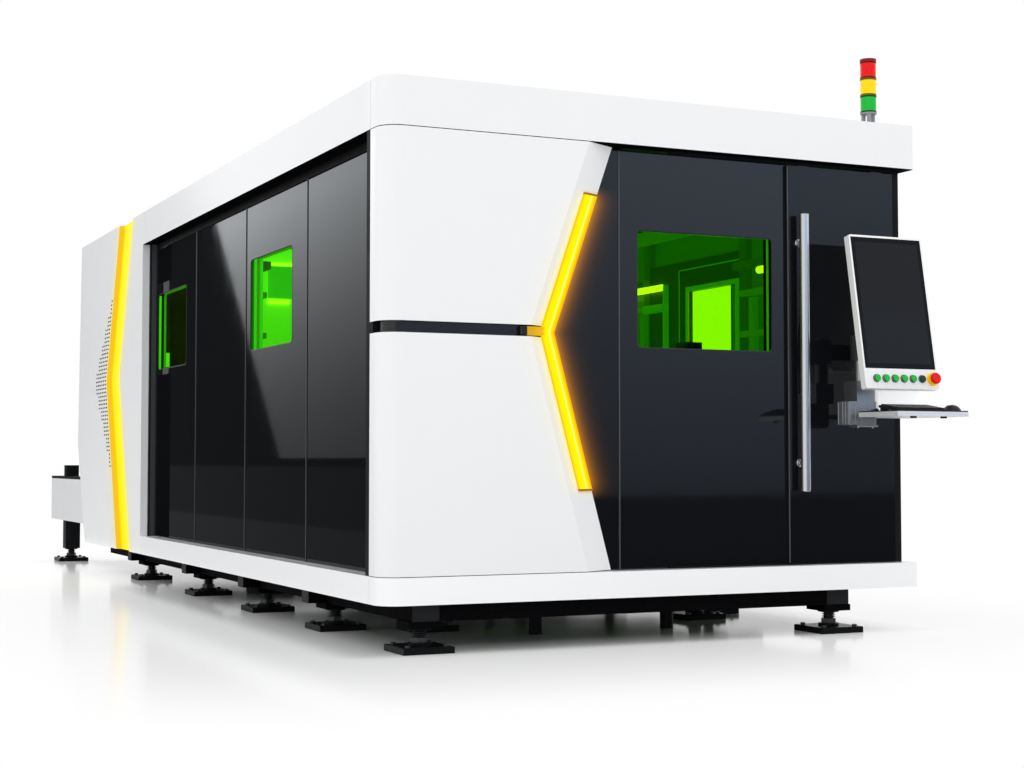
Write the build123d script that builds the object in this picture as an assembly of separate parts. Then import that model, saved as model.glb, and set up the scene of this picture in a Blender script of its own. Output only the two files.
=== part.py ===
from build123d import *
import os
from math import asin, atan2, cos, degrees, hypot, radians, sin, tan

# Enclosed fiber laser cutting machine with an exchange table at its rear.
# Millimetres. While it is built, X runs right from the left skin, Y runs rearwards from
# the front skin and Z runs up from the floor. The export moves the origin to the middle
# of the footprint.

# General
overrun = 5.0  # how far a cutting tool passes a face
sheet = 4.0  # folded steel sheet
tube_wall = 5.0
seam = 3.0  # open joint between neighbouring skin pieces
slide_gap = 0.4  # running clearance of a guide, each side
seat_gap = 0.3  # a moving piece above the piece that carries it
pin_gap = 0.1  # radial clearance of a hinge pin

# Enclosure skin
machine_width = 2590.0
skirt_height = 200.0  # floor to the lower band
lower_band_height = 110.0
panel_height = 1790.0  # between the two bands
upper_band_height = 200.0
band_depth = 83.0  # skin to the recessed panels at the sides
corner_radius = 90.0
right_corner_radius = 20.0  # front right corner of the bands
corner_return = 145.0  # how far the front pieces run back along the sides
side_start = 200.0  # front edge of the first side panel
side_panel_pitch = 1000.0
side_panel_count = 4
panel_depth = 40.0
header_gap = 36.0  # dark gap over the side panels
band_stub = 100.0  # short band pieces beside the rear covers
roof_depth = 30.0
roof_count = 4
rear_roof_count = 2

lower_band_top = skirt_height + lower_band_height
upper_band_bottom = lower_band_top + panel_height
roof_z = upper_band_bottom + upper_band_height
rear_start = side_start + side_panel_count * side_panel_pitch
side_panel_top = upper_band_bottom - header_gap

# Enclosure frame
rail_width = 80.0
post_depth = 40.0
post_width = 60.0
jamb_setback = 43.0
jamb_width = 30.0
column_inset = 33.0  # right front column inside the band's end

# Side windows
window_offset = 230.0  # panel edge to window
window_width = 690.0
window_drop = 279.0  # panel top to window
window_height = 460.0
window_radius = 25.0
glass_thickness = 6.0
glass_lap = 18.0
window_every_count = 2  # every second panel has a window

window_bottom = side_panel_top - window_drop - window_height

# Front
facet_width = 147.0
facet_depth = 80.0
slot_bottom = 1276.0
slot_height = 47.0
outline_top_x = 918.0
outline_kink_x = 638.0
outline_bottom_x = 907.0
trim_depth = 24.0
trim_lap = 20.0
trim_back = 4.0
track_height = 11.0
fascia_left = 560.0
fascia_right = 1097.0
front_window_inset_left = 87.0  # panel edge to window
front_window_inset_right = 70.0
front_window_drop = 339.0  # panel top to window
front_window_height = 500.0
front_window_radius = 20.0
led_start_share = 0.42  # across the facet
led_end_share = 0.97
led_height = 9.0
led_bottom = 650.0
led_top = 1882.0
led_stub_length = 34.0
led_stub_margin = 6.0
led_stub_depth = 34.0

slot_top = slot_bottom + slot_height
kink_z = slot_bottom + slot_height / 2
fascia_y = facet_depth
front_panel_top = upper_band_bottom - track_height
front_window_top = front_panel_top - front_window_drop
front_window_bottom = front_window_top - front_window_height
facet_angle = atan2(facet_depth, facet_width)

# Sliding door
leaf_width = 577.0
leaf_inset = 77.0  # right skin to the leaf
leaf_seam = 2.0
leaf_thickness = 12.0
leaf_gap = 2.0  # behind the leaf
leaf_foot_gap = 8.0
leaf_head_gap = 7.0
door_travel = 580.0
lug_width = 60.0
lug_thickness = 8.0
lug_rise = 14.0
lug_inset = 60.0
track_width = 16.0  # in front of the right column
track_end = 20.0
guide_rib_width = 8.0
handle_inset = 60.0
handle_diameter = 44.0
handle_standoff = 24.0
handle_bottom = 634.0
handle_top = 1863.0
handle_post_diameter = 20.0
handle_post_inset = 126.0
handle_chamfer = 2.0

leaf_right = machine_width - leaf_inset
leaf_left = leaf_right - leaf_width
window_panel_right = leaf_left - leaf_seam
front_window_left = fascia_right + front_window_inset_left
front_window_right = window_panel_right - front_window_inset_right
handle_x = leaf_left + handle_inset
leaf_back = fascia_y - leaf_gap
leaf_front = leaf_back - leaf_thickness
leaf_bottom = lower_band_top + leaf_foot_gap
leaf_top = front_panel_top - leaf_head_gap
lug_y = (leaf_front + leaf_back) / 2
handle_y = leaf_front - handle_standoff - handle_diameter / 2

# Rear covers, each a closed cabinet beside the pallet tunnel
cabinet_width = 430.0
rear_top_y = 6150.0
rear_knee_y = 6220.0
rear_knee_z = 890.0
rear_foot_y = 5930.0
groove_width = 390.0
groove_depth = 34.0
groove_top_y = 4676.0
groove_kink_y = 5047.0
groove_kink_z = 1300.0
groove_foot_y = 4685.0
led_wall = 6.0
vent_length = 40.0
vent_height = 10.0
vent_pitch = 58.0
vent_row_pitch = 26.0
vent_bottom = 734.0
vent_top = 1826.0
vent_reach = 560.0  # from the groove's middle to the tip of the field
vent_margin = 26.0  # groove edge to the first slot

# Walls across the machine
wall_depth = 40.0
wall_gap = 5.0
gate_opening_bottom = 610.0
gate_opening_top = 880.0
portal_y = 5960.0
portal_bottom = 1000.0
gate_thickness = 12.0
gate_height = 290.0
gate_lap = 10.0
gate_clearance = 5.0  # partition to gate
guide_width = 30.0
guide_depth = 22.0
guide_slot = 19.0
guide_bottom = 645.0
guide_top = 1190.0

# Cabinets' contents
source_inset_x = 100.0
source_clearance = 30.0  # chassis to the inner wall
source_y = 4420.0
source_length = 900.0
source_height = 900.0
control_length = 800.0
control_height = 1600.0
case_chamfer = 8.0

source_width = cabinet_width - source_inset_x - source_clearance

# Base frame and feet
base_left = 165.0
base_right_inset = 315.0
base_front = 100.0
base_rear = 5850.0
beam_width = 120.0
beam_height = 75.0
cross_width = 100.0
cross_beam_y = (615.0, 980.0, 2260.0, 3430.0, 4850.0, 5750.0)
outrigger_y = (1200.0, 2260.0, 3430.0, 4850.0)
foot_y = (170.0, 1200.0, 2260.0, 3430.0, 4850.0)
inner_foot_inset = 590.0
inner_foot_y = (980.0, 3430.0)
stub_inset = 960.0
stub_diameter = 62.0
bracket_width = 140.0
bracket_height = 28.0
plate_width = 220.0
plate_thickness = 27.0
plate_chamfer = 3.0
boss_diameter = 92.0
boss_height = 12.0
stud_diameter = 42.0
flange_diameter = 95.0
flange_height = 8.0
nut_flats = 62.0
nut_height = 20.0
nut_gap = 0.3
bolt_diameter = 22.0
bolt_height = 9.0
bolt_inset = 28.0

base_right = machine_width - base_right_inset
inner_foot_x = (inner_foot_inset, machine_width - inner_foot_inset)
stub_x = (stub_inset, machine_width - stub_inset)
beam_bottom = skirt_height - beam_height
bracket_bottom = beam_bottom - bracket_height

# Machine bed
bed_inset = 350.0  # left skin to the bed's outer face
bed_side_width = 150.0
bed_front = 400.0
bed_rear = 4100.0
bed_top = 800.0
bed_cross_bottom = 250.0
bed_cross_height = 100.0
bed_cross_width = 120.0
bed_cross_y = (450.0, 2200.0, 3920.0)
rail_section_width = 36.0
rail_section_height = 30.0
rail_end = 20.0
rack_width = 30.0
rack_height = 28.0
rack_inset = 8.0
trough_margin = 10.0
trough_front = 820.0
trough_rear = 4040.0
trough_height = 120.0
light_drop = 314.0  # panel top to lamp
light_height = 40.0
light_depth = 42.0

light_bottom = side_panel_top - light_drop

# Gantry
gantry_y = 1300.0
gantry_depth = 260.0
gantry_bottom = 905.0
gantry_height = 280.0
shoe_width = 66.0
shoe_length = 100.0
shoe_height = 66.0
shoe_lift = 6.0
saddle_width = 90.0
cross_rail_depth = 20.0
cross_rail_height = 24.0
cross_rail_z = (960.0, 1130.0)
cross_rail_end = 30.0
motor_flange = 120.0
motor_flange_height = 15.0
gearbox_diameter = 100.0
gearbox_height = 75.0
motor_width = 104.0
motor_height = 100.0
motor_fillet = 10.0

# Carriage and cutting head
carriage_width = 300.0
carriage_depth = 88.0
carriage_bottom = 915.0
carriage_height = 260.0
carriage_gap = 2.0
lift_rail_width = 22.0
lift_rail_depth = 20.0
lift_rail_offset = 55.0
head_plate_width = 170.0
head_plate_depth = 58.0
head_plate_bottom = 930.0
head_plate_height = 250.0
head_bridge_width = 80.0
head_bridge_height = 130.0
head_stand = 55.0  # head axis in front of the plate
head_diameter = 100.0
head_body_bottom = 1000.0
head_body_height = 330.0
head_neck_diameter = 40.0
head_neck_top = 920.0
nozzle_top = 890.0
nozzle_diameter = 28.0
nozzle_tip = 865.0
nozzle_tip_diameter = 8.0

# Pallet and its tracks
pallet_inset = 545.0  # skin to the pallet
pallet_front = 900.0
pallet_length = 3100.0
pallet_bar = 60.0
pallet_bar_height = 80.0
pallet_bearer_width = 40.0
pallet_bearer_shares = (1 / 3, 2 / 3)
track_bottom = 618.0
track_bar_height = 22.0
track_bar_width = 120.0
track_front = 760.0
track_rear_gap = 150.0  # short of the table's end
slat_count = 30
slat_thickness = 5.0
slat_height = 60.0
slat_inset = 15.0
slat_tooth_count = 24
slat_tooth_share = 0.5  # of the slat's height

# Exchange table
table_rear = 7750.0
table_inset = 85.0
table_side_width = 100.0
table_side_bottom = 310.0
table_side_top = 630.0
table_strip_height = 20.0
table_strip_width = 120.0
table_cross_bottom = 540.0
table_cross_width = 90.0
table_cross_y = (6350.0, 6950.0, 7600.0)
tunnel_cross_y = (4850.0, 5750.0)
tunnel_gap = 10.0
tunnel_post_width = 80.0
tunnel_post_inset = 70.0
table_leg_y = 7180.0
table_leg_width = 110.0
stop_width = 95.0
stop_height = 85.0

# Signal tower
tower_inset = 105.0
tower_y = 200.0
tower_diameter = 76.0
tower_foot_diameter = 72.0
tower_foot_height = 6.0
tower_leg_diameter = 20.0
tower_leg_circle = 50.0
tower_leg_count = 3
tower_base_height = 88.0
tower_tier_height = 80.0
tower_cap_height = 12.0
tower_rim_height = 6.0
tower_waist = 2.0  # lens inside its rims

tower_x = machine_width - tower_inset

# Console arm
pivot_inset = 13.0  # column edge to the arm's pin
pivot_y = -35.0
arm_reach_x = 322.0
arm_reach_y = 53.0
arm_bottom = 1209.0
arm_top = 1320.0
arm_bar_height = 70.0
arm_bar_width = 60.0
arm_barrel_diameter = 50.0
arm_pin_diameter = 24.0
arm_lug_height = 28.0
bracket_block_width = 26.0
knuckle_diameter = 100.0
post_pin_diameter = 40.0
post_cap_height = 6.0

pivot_x = machine_width - column_inset - pivot_inset
post_x = pivot_x - arm_reach_x
post_y = pivot_y - arm_reach_y

# Console
neck_diameter = 70.0
neck_bottom = 1119.0
collar_left_reach = 62.0  # these four run from the post's axis
collar_right_reach = 34.0
collar_front_reach = 47.0
collar_rear_reach = 48.0
block_left_reach = 118.0
block_right_reach = 28.0
block_front = -150.0
block_rear = -70.0
block_bottom = 925.0
block_top = 1028.0
tray_left_reach = 87.0
tray_width = 374.0
tray_front = -450.0
tray_waist = -180.0
tray_rear = -62.0
tray_top = 978.0
tray_thickness = 20.0
tray_lip = 6.0
tray_panel_depth = 2.0
column_reach = 40.0  # post's axis to the column
column_width = 228.0
column_front = -150.0
column_top = 1170.0
tilt_y = -160.0
tilt_z = 1186.0
tilt_pin_diameter = 12.0
tilt_barrel_diameter = 24.0
tilt_lug_width = 20.0
tilt_lug_inset = 28.0
keyboard_inset = 8.0
keyboard_front = -443.0
keyboard_width = 255.0
keyboard_depth = 136.0
keyboard_height = 12.0
key_row_count = 5
key_column_count = 14
key_height = 5.0
key_share = 0.82  # of the key pitch
keyboard_rim = 5.0
keyboard_rise = 20.0  # rear edge over the front edge
keyboard_leg_width = 30.0
mouse_inset = 42.0
mouse_y = -391.0
mouse_width = 60.0
mouse_length = 104.0
mouse_height = 34.0

collar_left = post_x - collar_left_reach
collar_right = post_x + collar_right_reach
collar_front = post_y - collar_front_reach
collar_rear = post_y + collar_rear_reach
block_left = post_x - block_left_reach
block_right = post_x + block_right_reach
tray_left = post_x - tray_left_reach
tray_right = tray_left + tray_width
column_left = post_x + column_reach
column_right = column_left + column_width
keyboard_left = tray_left + keyboard_inset
mouse_x = tray_right - mouse_inset

# Screen, leaning back
screen_left_reach = 84.0  # post's axis to the panel's left edge
screen_width = 395.0
screen_slant = 693.0
screen_thickness = 33.0
screen_front_y = -230.0
screen_bottom_z = 1082.0
screen_lean = 9.9  # degrees
screen_radius = 10.0
glass_inset = 9.0
glass_bottom = 90.0
screen_glass_thickness = 4.0
button_row = 46.0  # up the slant
button_first = 62.0
button_pitch = 48.6
button_count = 6
button_diameter = 30.0
button_cap_height = 9.0
button_lift = 4.0  # cap above the panel at rest
button_stem_diameter = 18.0
button_stem_length = 14.0
button_stem_gap = 0.3
button_chamfer = 1.5
estop_from_right = 32.0
estop_base_diameter = 58.0
estop_base_height = 10.0
estop_diameter = 50.0
estop_height = 16.0
estop_lift = 6.0
estop_stem_diameter = 22.0
estop_fillet = 5.0

screen_left = post_x - screen_left_reach

middle_x = machine_width / 2
middle_y = (tray_front + table_rear) / 2
gantry_top = gantry_bottom + gantry_height
bed_rail_x = bed_inset + bed_side_width / 2
gantry_front = gantry_y - gantry_depth / 2
gantry_rear = gantry_y + gantry_depth / 2
track_top = track_bottom + track_bar_height
pallet_bottom = track_top + seat_gap
pallet_top = pallet_bottom + pallet_bar_height
pallet_width = machine_width - 2 * pallet_inset
pallet_rear = pallet_front + pallet_length
carriage_back = gantry_front - carriage_gap
carriage_front = carriage_back - carriage_depth
gate_front = rear_start + wall_gap + wall_depth + gate_clearance
gate_bottom = gate_opening_top + gate_lap
strip_top = table_side_top + table_strip_height


# Shared shapes
def block(x_span, y_span, z_span):
    """A box between three pairs of places."""
    spans = (x_span, y_span, z_span)
    low = [span[0] for span in spans]
    size = [span[1] - span[0] for span in spans]
    return Pos(*low) * Box(*size, align=(Align.MIN, Align.MIN, Align.MIN))


def hollow(spans, wall, open_low=(0, 0, 0), open_high=(0, 0, 0)):
    """A box of even wall, open at the low or high ends that are marked with 1."""
    inner = []
    for (low, high), at_low, at_high in zip(spans, open_low, open_high):
        inner_low = low - overrun if at_low else low + wall
        inner_high = high + overrun if at_high else high - wall
        inner.append((inner_low, inner_high))
    return block(*spans) - block(*inner)


def tube_along(axis, x_span, y_span, z_span):
    """A rectangular tube, open at both ends of the axis with this number."""
    ends = tuple(int(index == axis) for index in range(3))
    return hollow((x_span, y_span, z_span), tube_wall, ends, ends)


def around(middle, width):
    """The span of this width about a middle."""
    return (middle - width / 2, middle + width / 2)


def across(solids):
    """Solids of the left side together with their mirror images on the right."""
    plane = Plane.YZ.offset(middle_x)
    return solids + [mirror(solid, about=plane) for solid in solids]


def side_prism(points, x_low, x_high):
    """A side outline, given as (Y, Z) points, carried from x_low to x_high."""
    outline = Plane.YZ.offset(x_low) * Polygon(*points, align=None)
    return extrude(outline, x_high - x_low, dir=(1, 0, 0))


def upright(x, y, z_low, z_high, diameter):
    """A standing cylinder."""
    drum = Cylinder(diameter / 2, z_high - z_low, align=(Align.CENTER, Align.CENTER, Align.MIN))
    return Pos(x, y, z_low) * drum


def taper(x, y, z_low, z_high, low_diameter, high_diameter):
    """A standing cone."""
    cone = Cone(low_diameter / 2, high_diameter / 2, z_high - z_low,
                align=(Align.CENTER, Align.CENTER, Align.MIN))
    return Pos(x, y, z_low) * cone


def rounded_opening(width, height, depth, radius):
    """A rounded window tool, standing across X and Z and centred on its middle."""
    return extrude(Plane.XZ * RectangleRounded(width, height, radius), depth / 2, both=True)


# Base frame and feet
def foot_places():
    """Middles of the levelling feet, under the base beams, the bed and the table legs."""
    left = base_left + beam_width / 2
    right = base_right - beam_width / 2
    table_left = table_inset + table_leg_width / 2
    places = [(x, y) for x in (left, right) for y in foot_y]
    places += [(x, y) for x in inner_foot_x for y in inner_foot_y]
    places += [(table_left, table_leg_y), (machine_width - table_left, table_leg_y)]
    return places


def base_frame():
    """Two long beams, cross beams, outriggers under the sills and a bracket over each foot."""
    z_span = (beam_bottom, skirt_height)
    left = (base_left, base_left + beam_width)
    right = (base_right - beam_width, base_right)
    between = (left[1], right[0])
    long_span = (base_front, base_rear)
    solids = [tube_along(1, left, long_span, z_span), tube_along(1, right, long_span, z_span)]
    solids.append(tube_along(0, between, (base_front, base_front + cross_width), z_span))
    for y in cross_beam_y:
        solids.append(tube_along(0, between, around(y, cross_width), z_span))
    for y in outrigger_y:
        solids.append(tube_along(0, (band_depth, left[0]), around(y, cross_width), z_span))
        right_reach = (right[1], machine_width - band_depth)
        solids.append(tube_along(0, right_reach, around(y, cross_width), z_span))
    for x, y in foot_places()[:-2]:
        bracket_span = (bracket_bottom, beam_bottom)
        solids.append(block(around(x, bracket_width), around(y, bracket_width), bracket_span))
    return solids


def levelling_feet():
    """Square plates with a welded stud and flange, and two plain round jacks."""
    solids = []
    for x, y in foot_places():
        plate = block(around(x, plate_width), around(y, plate_width), (0, plate_thickness))
        plate = chamfer(plate.edges().group_by(Axis.Z)[-1], plate_chamfer)
        boss = upright(x, y, plate_thickness, plate_thickness + boss_height, boss_diameter)
        stud = upright(x, y, plate_thickness, bracket_bottom, stud_diameter)
        flange = upright(x, y, bracket_bottom - flange_height, bracket_bottom, flange_diameter)
        solids.append(plate + boss + stud + flange)
    for x in stub_x:
        solids.append(upright(x, cross_beam_y[0], 0, beam_bottom, stub_diameter))
    return solids


def foot_fasteners():
    """A lock nut on each stud and four bolt heads on each plate."""
    nut_bottom = plate_thickness + boss_height
    nut = extrude(RegularPolygon(nut_flats / 2, 6, major_radius=False), nut_height)
    nut -= upright(0, 0, -overrun, nut_height + overrun, stud_diameter + 2 * nut_gap)
    reach = plate_width / 2 - bolt_inset
    solids = []
    for x, y in foot_places():
        solids.append(Pos(x, y, nut_bottom) * nut)
        for side in (-1, 1):
            for end in (-1, 1):
                bolt_x = x + side * reach
                bolt_y = y + end * reach
                bolt_top = plate_thickness + bolt_height
                solids.append(upright(bolt_x, bolt_y, plate_thickness, bolt_top, bolt_diameter))
    return solids


# Enclosure frame and skin
def enclosure_frame():
    """Sills, roof rails, posts and jambs that carry the skin."""
    inner = band_depth + rail_width
    post_x_span = (inner - post_depth, inner)
    sill_z = (skirt_height, lower_band_top)
    rail_z = (side_panel_top, roof_z - roof_depth)
    front_post = (side_start - seam - post_width, side_start - seam)
    left = [
        tube_along(1, (band_depth, inner), (corner_radius, rear_start), sill_z),
        tube_along(1, (band_depth, inner), (front_post[1], rear_start), rail_z),
        tube_along(2, post_x_span, front_post, (lower_band_top, rail_z[1])),
        tube_along(2, post_x_span, (rear_start - post_width, rear_start), (lower_band_top, rail_z[0])),
        tube_along(2, (jamb_setback, band_depth), (rear_start - jamb_width, rear_start),
                   (lower_band_top, upper_band_bottom)),
    ]
    for index in range(1, side_panel_count):
        seam_y = side_start + index * side_panel_pitch
        left.append(tube_along(2, post_x_span, around(seam_y, post_width), (lower_band_top, rail_z[0])))
    solids = across(left)
    front_x = (inner, machine_width - inner)
    front_y = (band_depth, inner)
    solids.append(tube_along(0, front_x, front_y, sill_z))
    solids.append(tube_along(0, front_x, front_y, (upper_band_bottom, rail_z[1])))
    front_post_y = (fascia_y + panel_depth, inner)
    for x in (fascia_left + post_width / 2, fascia_right, window_panel_right - post_width / 2):
        solids.append(tube_along(2, around(x, post_width), front_post_y, (lower_band_top, upper_band_bottom)))
    jamb_y = (corner_return - trim_depth, front_post[1])
    jamb_z = (lower_band_top, upper_band_bottom)
    solids.append(tube_along(2, (sheet, post_x_span[0]), jamb_y, jamb_z))
    column_x = (machine_width - post_x_span[0], machine_width - column_inset)
    solids.append(tube_along(2, column_x, (fascia_y, front_post[1]), jamb_z))
    return solids


def band_plan(inset, back):
    """Plan of a front band set in from the skin, with its two front corners rounded."""
    width = machine_width - 2 * inset
    plan = Pos(middle_x, (inset + back) / 2) * Rectangle(width, back - inset)
    for end, radius in ((-1, right_corner_radius), (0, corner_radius)):
        if radius > inset:
            front = plan.vertices().sort_by(Axis.Y)[:2].sort_by(Axis.X)
            plan = fillet(front[end], radius - inset)
    return plan


def band_set(bottom, height):
    """One band round the front and both sides, folded to a channel that opens inwards."""
    back = corner_return - seam
    outer = extrude(Pos(0, 0, bottom) * band_plan(0, back), height)
    core = extrude(Pos(0, 0, bottom - overrun) * band_plan(band_depth, back + overrun), height + 2 * overrun)
    pocket = extrude(Pos(0, 0, bottom + sheet) * band_plan(sheet, back + overrun), height - 2 * sheet)
    break_y = rear_start - band_stub
    z_span = (bottom, bottom + height)
    sides = []
    for y_span in ((corner_return, break_y - seam), (break_y, rear_start)):
        sides.append(hollow(((0, band_depth), y_span, z_span), sheet, open_high=(1, 0, 0)))
    return [outer - core - pocket] + across(sides)


def lower_bands():
    return band_set(skirt_height, lower_band_height)


def upper_bands():
    return band_set(upper_band_bottom, upper_band_height)


def roof_panels():
    """Folded roof trays over the chamber and over the tunnel between the rear covers."""
    z_span = (roof_z - roof_depth, roof_z)
    chamber_x = (band_depth, machine_width - band_depth)
    tunnel_x = (cabinet_width, machine_width - cabinet_width)
    portal_rear = portal_y + wall_depth
    solids = []
    for x_span, start, end, count in ((chamber_x, corner_radius, rear_start, roof_count),
                                      (tunnel_x, rear_start, portal_rear, rear_roof_count)):
        pitch = (end - start) / count
        for index in range(count):
            low = start + index * pitch
            y_span = (low, low + pitch - seam)
            solids.append(hollow((x_span, y_span, z_span), sheet, open_low=(0, 0, 1)))
    return solids


def outline_x(z):
    """Edge of the white front covers at a height: a wide V that points at the left side."""
    if z >= kink_z:
        share = (z - kink_z) / (upper_band_bottom - kink_z)
        return outline_kink_x + share * (outline_top_x - outline_kink_x)
    share = (kink_z - z) / (kink_z - lower_band_top)
    return outline_kink_x + share * (outline_bottom_x - outline_kink_x)


def cover_section(z):
    """Plan of a front cover: side return, round corner, face, and facet back to the fascia."""
    edge = outline_x(z)
    centre = (corner_radius, corner_radius)
    bend = sheet * tan(facet_angle / 2)
    rim = sheet / sin(facet_angle)
    facet_end = edge + facet_width
    pieces = [
        Line((0, corner_return), (0, corner_radius)),
        CenterArc(centre, corner_radius, 180, 90),
        Line((corner_radius, 0), (edge, 0)),
        Line((edge, 0), (facet_end, facet_depth)),
        Line((facet_end, facet_depth), (facet_end - rim, facet_depth)),
        Line((facet_end - rim, facet_depth), (edge - bend, sheet)),
        Line((edge - bend, sheet), (corner_radius, sheet)),
        CenterArc(centre, corner_radius - sheet, 270, -90),
        Line((sheet, corner_radius), (sheet, corner_return)),
        Line((sheet, corner_return), (0, corner_return)),
    ]
    return Pos(0, 0, z) * make_face(pieces)


def front_covers():
    """The upper and lower white covers, ruled between their end sections."""
    upper = loft([cover_section(slot_top), cover_section(upper_band_bottom - seam)], ruled=True)
    lower = loft([cover_section(lower_band_top + seam), cover_section(slot_bottom)], ruled=True)
    return [upper, lower]


def corner_strip(outer_inset, inner_inset, end_x, end_y):
    """Plan strip between two insets, from the side return round the corner to end_x."""
    centre = (corner_radius, corner_radius)
    pieces = [
        Line((outer_inset, end_y), (outer_inset, corner_radius)),
        CenterArc(centre, corner_radius - outer_inset, 180, 90),
        Line((corner_radius, outer_inset), (end_x, outer_inset)),
        Line((end_x, outer_inset), (end_x, inner_inset)),
        Line((end_x, inner_inset), (corner_radius, inner_inset)),
        CenterArc(centre, corner_radius - inner_inset, 270, -90),
        Line((inner_inset, corner_radius), (inner_inset, end_y)),
        Line((inner_inset, end_y), (outer_inset, end_y)),
    ]
    return make_face(pieces)


def slot_trim():
    """Hat channel behind the slot between the two covers; both covers seat on its flanges."""
    end_x = outline_kink_x - led_stub_length
    end_y = corner_return - trim_depth
    bar_bottom = slot_bottom - trim_lap
    bar_height = slot_height + 2 * trim_lap
    bar = extrude(Pos(0, 0, bar_bottom) * corner_strip(sheet, sheet + trim_depth, end_x, end_y), bar_height)
    groove_inset = sheet + trim_depth - trim_back
    groove_plan = corner_strip(0, groove_inset, end_x + overrun, end_y + overrun)
    return [bar - extrude(Pos(0, 0, slot_bottom) * groove_plan, slot_height)]


def led_section(z):
    """Plan of the light strip: a flat bar that stands on the facet."""
    edge = outline_x(z)
    lift = (led_height * sin(facet_angle), -led_height * cos(facet_angle))
    base = [(edge + share * facet_width, share * facet_depth) for share in (led_start_share, led_end_share)]
    raised = [(x + lift[0], y + lift[1]) for x, y in reversed(base)]
    return Pos(0, 0, z) * make_face(Polyline(*base, *raised, close=True))


def front_led():
    """Light strip along both facets, with a short stub into the slot."""
    lower = loft([led_section(led_bottom), led_section(kink_z)], ruled=True)
    upper = loft([led_section(kink_z), led_section(led_top)], ruled=True)
    stub_y = (sheet, sheet + led_stub_depth)
    stub_z = (slot_bottom + led_stub_margin, slot_top - led_stub_margin)
    stub_end = outline_kink_x + led_end_share * facet_width / 2
    stub = block((outline_kink_x - led_stub_length, stub_end), stub_y, stub_z)
    return [lower + upper + stub]


def front_panel(x_span):
    """A black front panel, folded back at its edges."""
    z_span = (lower_band_top, front_panel_top)
    return hollow((x_span, (fascia_y, fascia_y + panel_depth), z_span), sheet, open_high=(0, 1, 0))


def front_fascia():
    return [front_panel((fascia_left, fascia_right - seam))]


def front_window_tool(margin, depth):
    """The front window's shape, grown by a margin on each side."""
    width = front_window_right - front_window_left + 2 * margin
    height = front_window_height + 2 * margin
    tool = rounded_opening(width, height, depth, front_window_radius + margin)
    middle = ((front_window_left + front_window_right) / 2, (front_window_bottom + front_window_top) / 2)
    return Pos(middle[0], 0, middle[1]) * tool


def window_panel():
    panel = front_panel((fascia_right, window_panel_right))
    return [panel - Pos(0, fascia_y, 0) * front_window_tool(0, 2 * (sheet + overrun))]


def front_window():
    """Glass behind the front window's opening."""
    middle_of_glass = fascia_y + sheet + glass_thickness / 2
    return [Pos(0, middle_of_glass, 0) * front_window_tool(glass_lap, glass_thickness)]


def has_window(index):
    """Whether the side panel of this number has a window."""
    return index % window_every_count == window_every_count - 1


def side_window_tool(index, margin, x_middle, depth):
    """A side window's shape in the panel of this number, grown by a margin."""
    tool = rounded_opening(window_width + 2 * margin, window_height + 2 * margin, depth, window_radius + margin)
    y = side_start + index * side_panel_pitch + window_offset + window_width / 2
    z = window_bottom + window_height / 2
    return Pos(x_middle, y, z) * Rot(0, 0, 90) * tool


def side_panels():
    """Four folded panels on each side, two of them with a window."""
    left = []
    for index in range(side_panel_count):
        start = side_start + index * side_panel_pitch
        y_span = (start, start + side_panel_pitch - seam)
        z_span = (lower_band_top, side_panel_top)
        panel = hollow(((band_depth, band_depth + panel_depth), y_span, z_span), sheet, open_high=(1, 0, 0))
        if has_window(index):
            panel -= side_window_tool(index, 0, band_depth, 2 * (sheet + overrun))
        left.append(panel)
    return across(left)


def side_windows():
    x_middle = band_depth + sheet + glass_thickness / 2
    numbers = [index for index in range(side_panel_count) if has_window(index)]
    return across([side_window_tool(index, glass_lap, x_middle, glass_thickness) for index in numbers])


# Sliding door
def door_track():
    """Top channel under the band and bottom rib on the band's ledge."""
    left = leaf_left - door_travel - track_end
    channel = block((left, leaf_right), around(lug_y, track_width), (front_panel_top, upper_band_bottom))
    slot_z = (front_panel_top - overrun, upper_band_bottom - sheet)
    slot_y = around(lug_y, lug_thickness + 2 * slide_gap)
    channel -= block((left - overrun, leaf_right + overrun), slot_y, slot_z)
    rib = block((left, leaf_right), around(lug_y, guide_rib_width), (lower_band_top, leaf_bottom - seat_gap))
    return [channel, rib]


def door_leaf():
    """Folded leaf with two lugs that run in the top channel."""
    spans = ((leaf_left, leaf_right), (leaf_front, leaf_back), (leaf_bottom, leaf_top))
    leaf = hollow(spans, sheet, open_high=(0, 1, 0))
    for x in (leaf_left + lug_inset, leaf_right - lug_inset - lug_width):
        lug_z = (leaf_top - sheet, leaf_top + lug_rise - seat_gap)
        leaf += block((x, x + lug_width), around(lug_y, lug_thickness), lug_z)
    return [leaf]


def door_handle():
    """Long bar on two standoffs."""
    bar = upright(handle_x, handle_y, handle_bottom, handle_top, handle_diameter)
    bar = chamfer(bar.edges(), handle_chamfer)
    for z in (handle_bottom + handle_post_inset, handle_top - handle_post_inset):
        post = Cylinder(handle_post_diameter / 2, leaf_front - handle_y,
                        align=(Align.CENTER, Align.CENTER, Align.MIN))
        bar += Pos(handle_x, handle_y, z) * Rot(-90, 0, 0) * post
    return [bar]


# Rear covers
def groove_middle(z):
    """Middle of the rear light groove at a height."""
    if z >= groove_kink_z:
        share = (z - groove_kink_z) / (roof_z - groove_kink_z)
        return groove_kink_y + share * (groove_top_y - groove_kink_y)
    share = (groove_kink_z - z) / (groove_kink_z - skirt_height)
    return groove_kink_y + share * (groove_foot_y - groove_kink_y)


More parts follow.
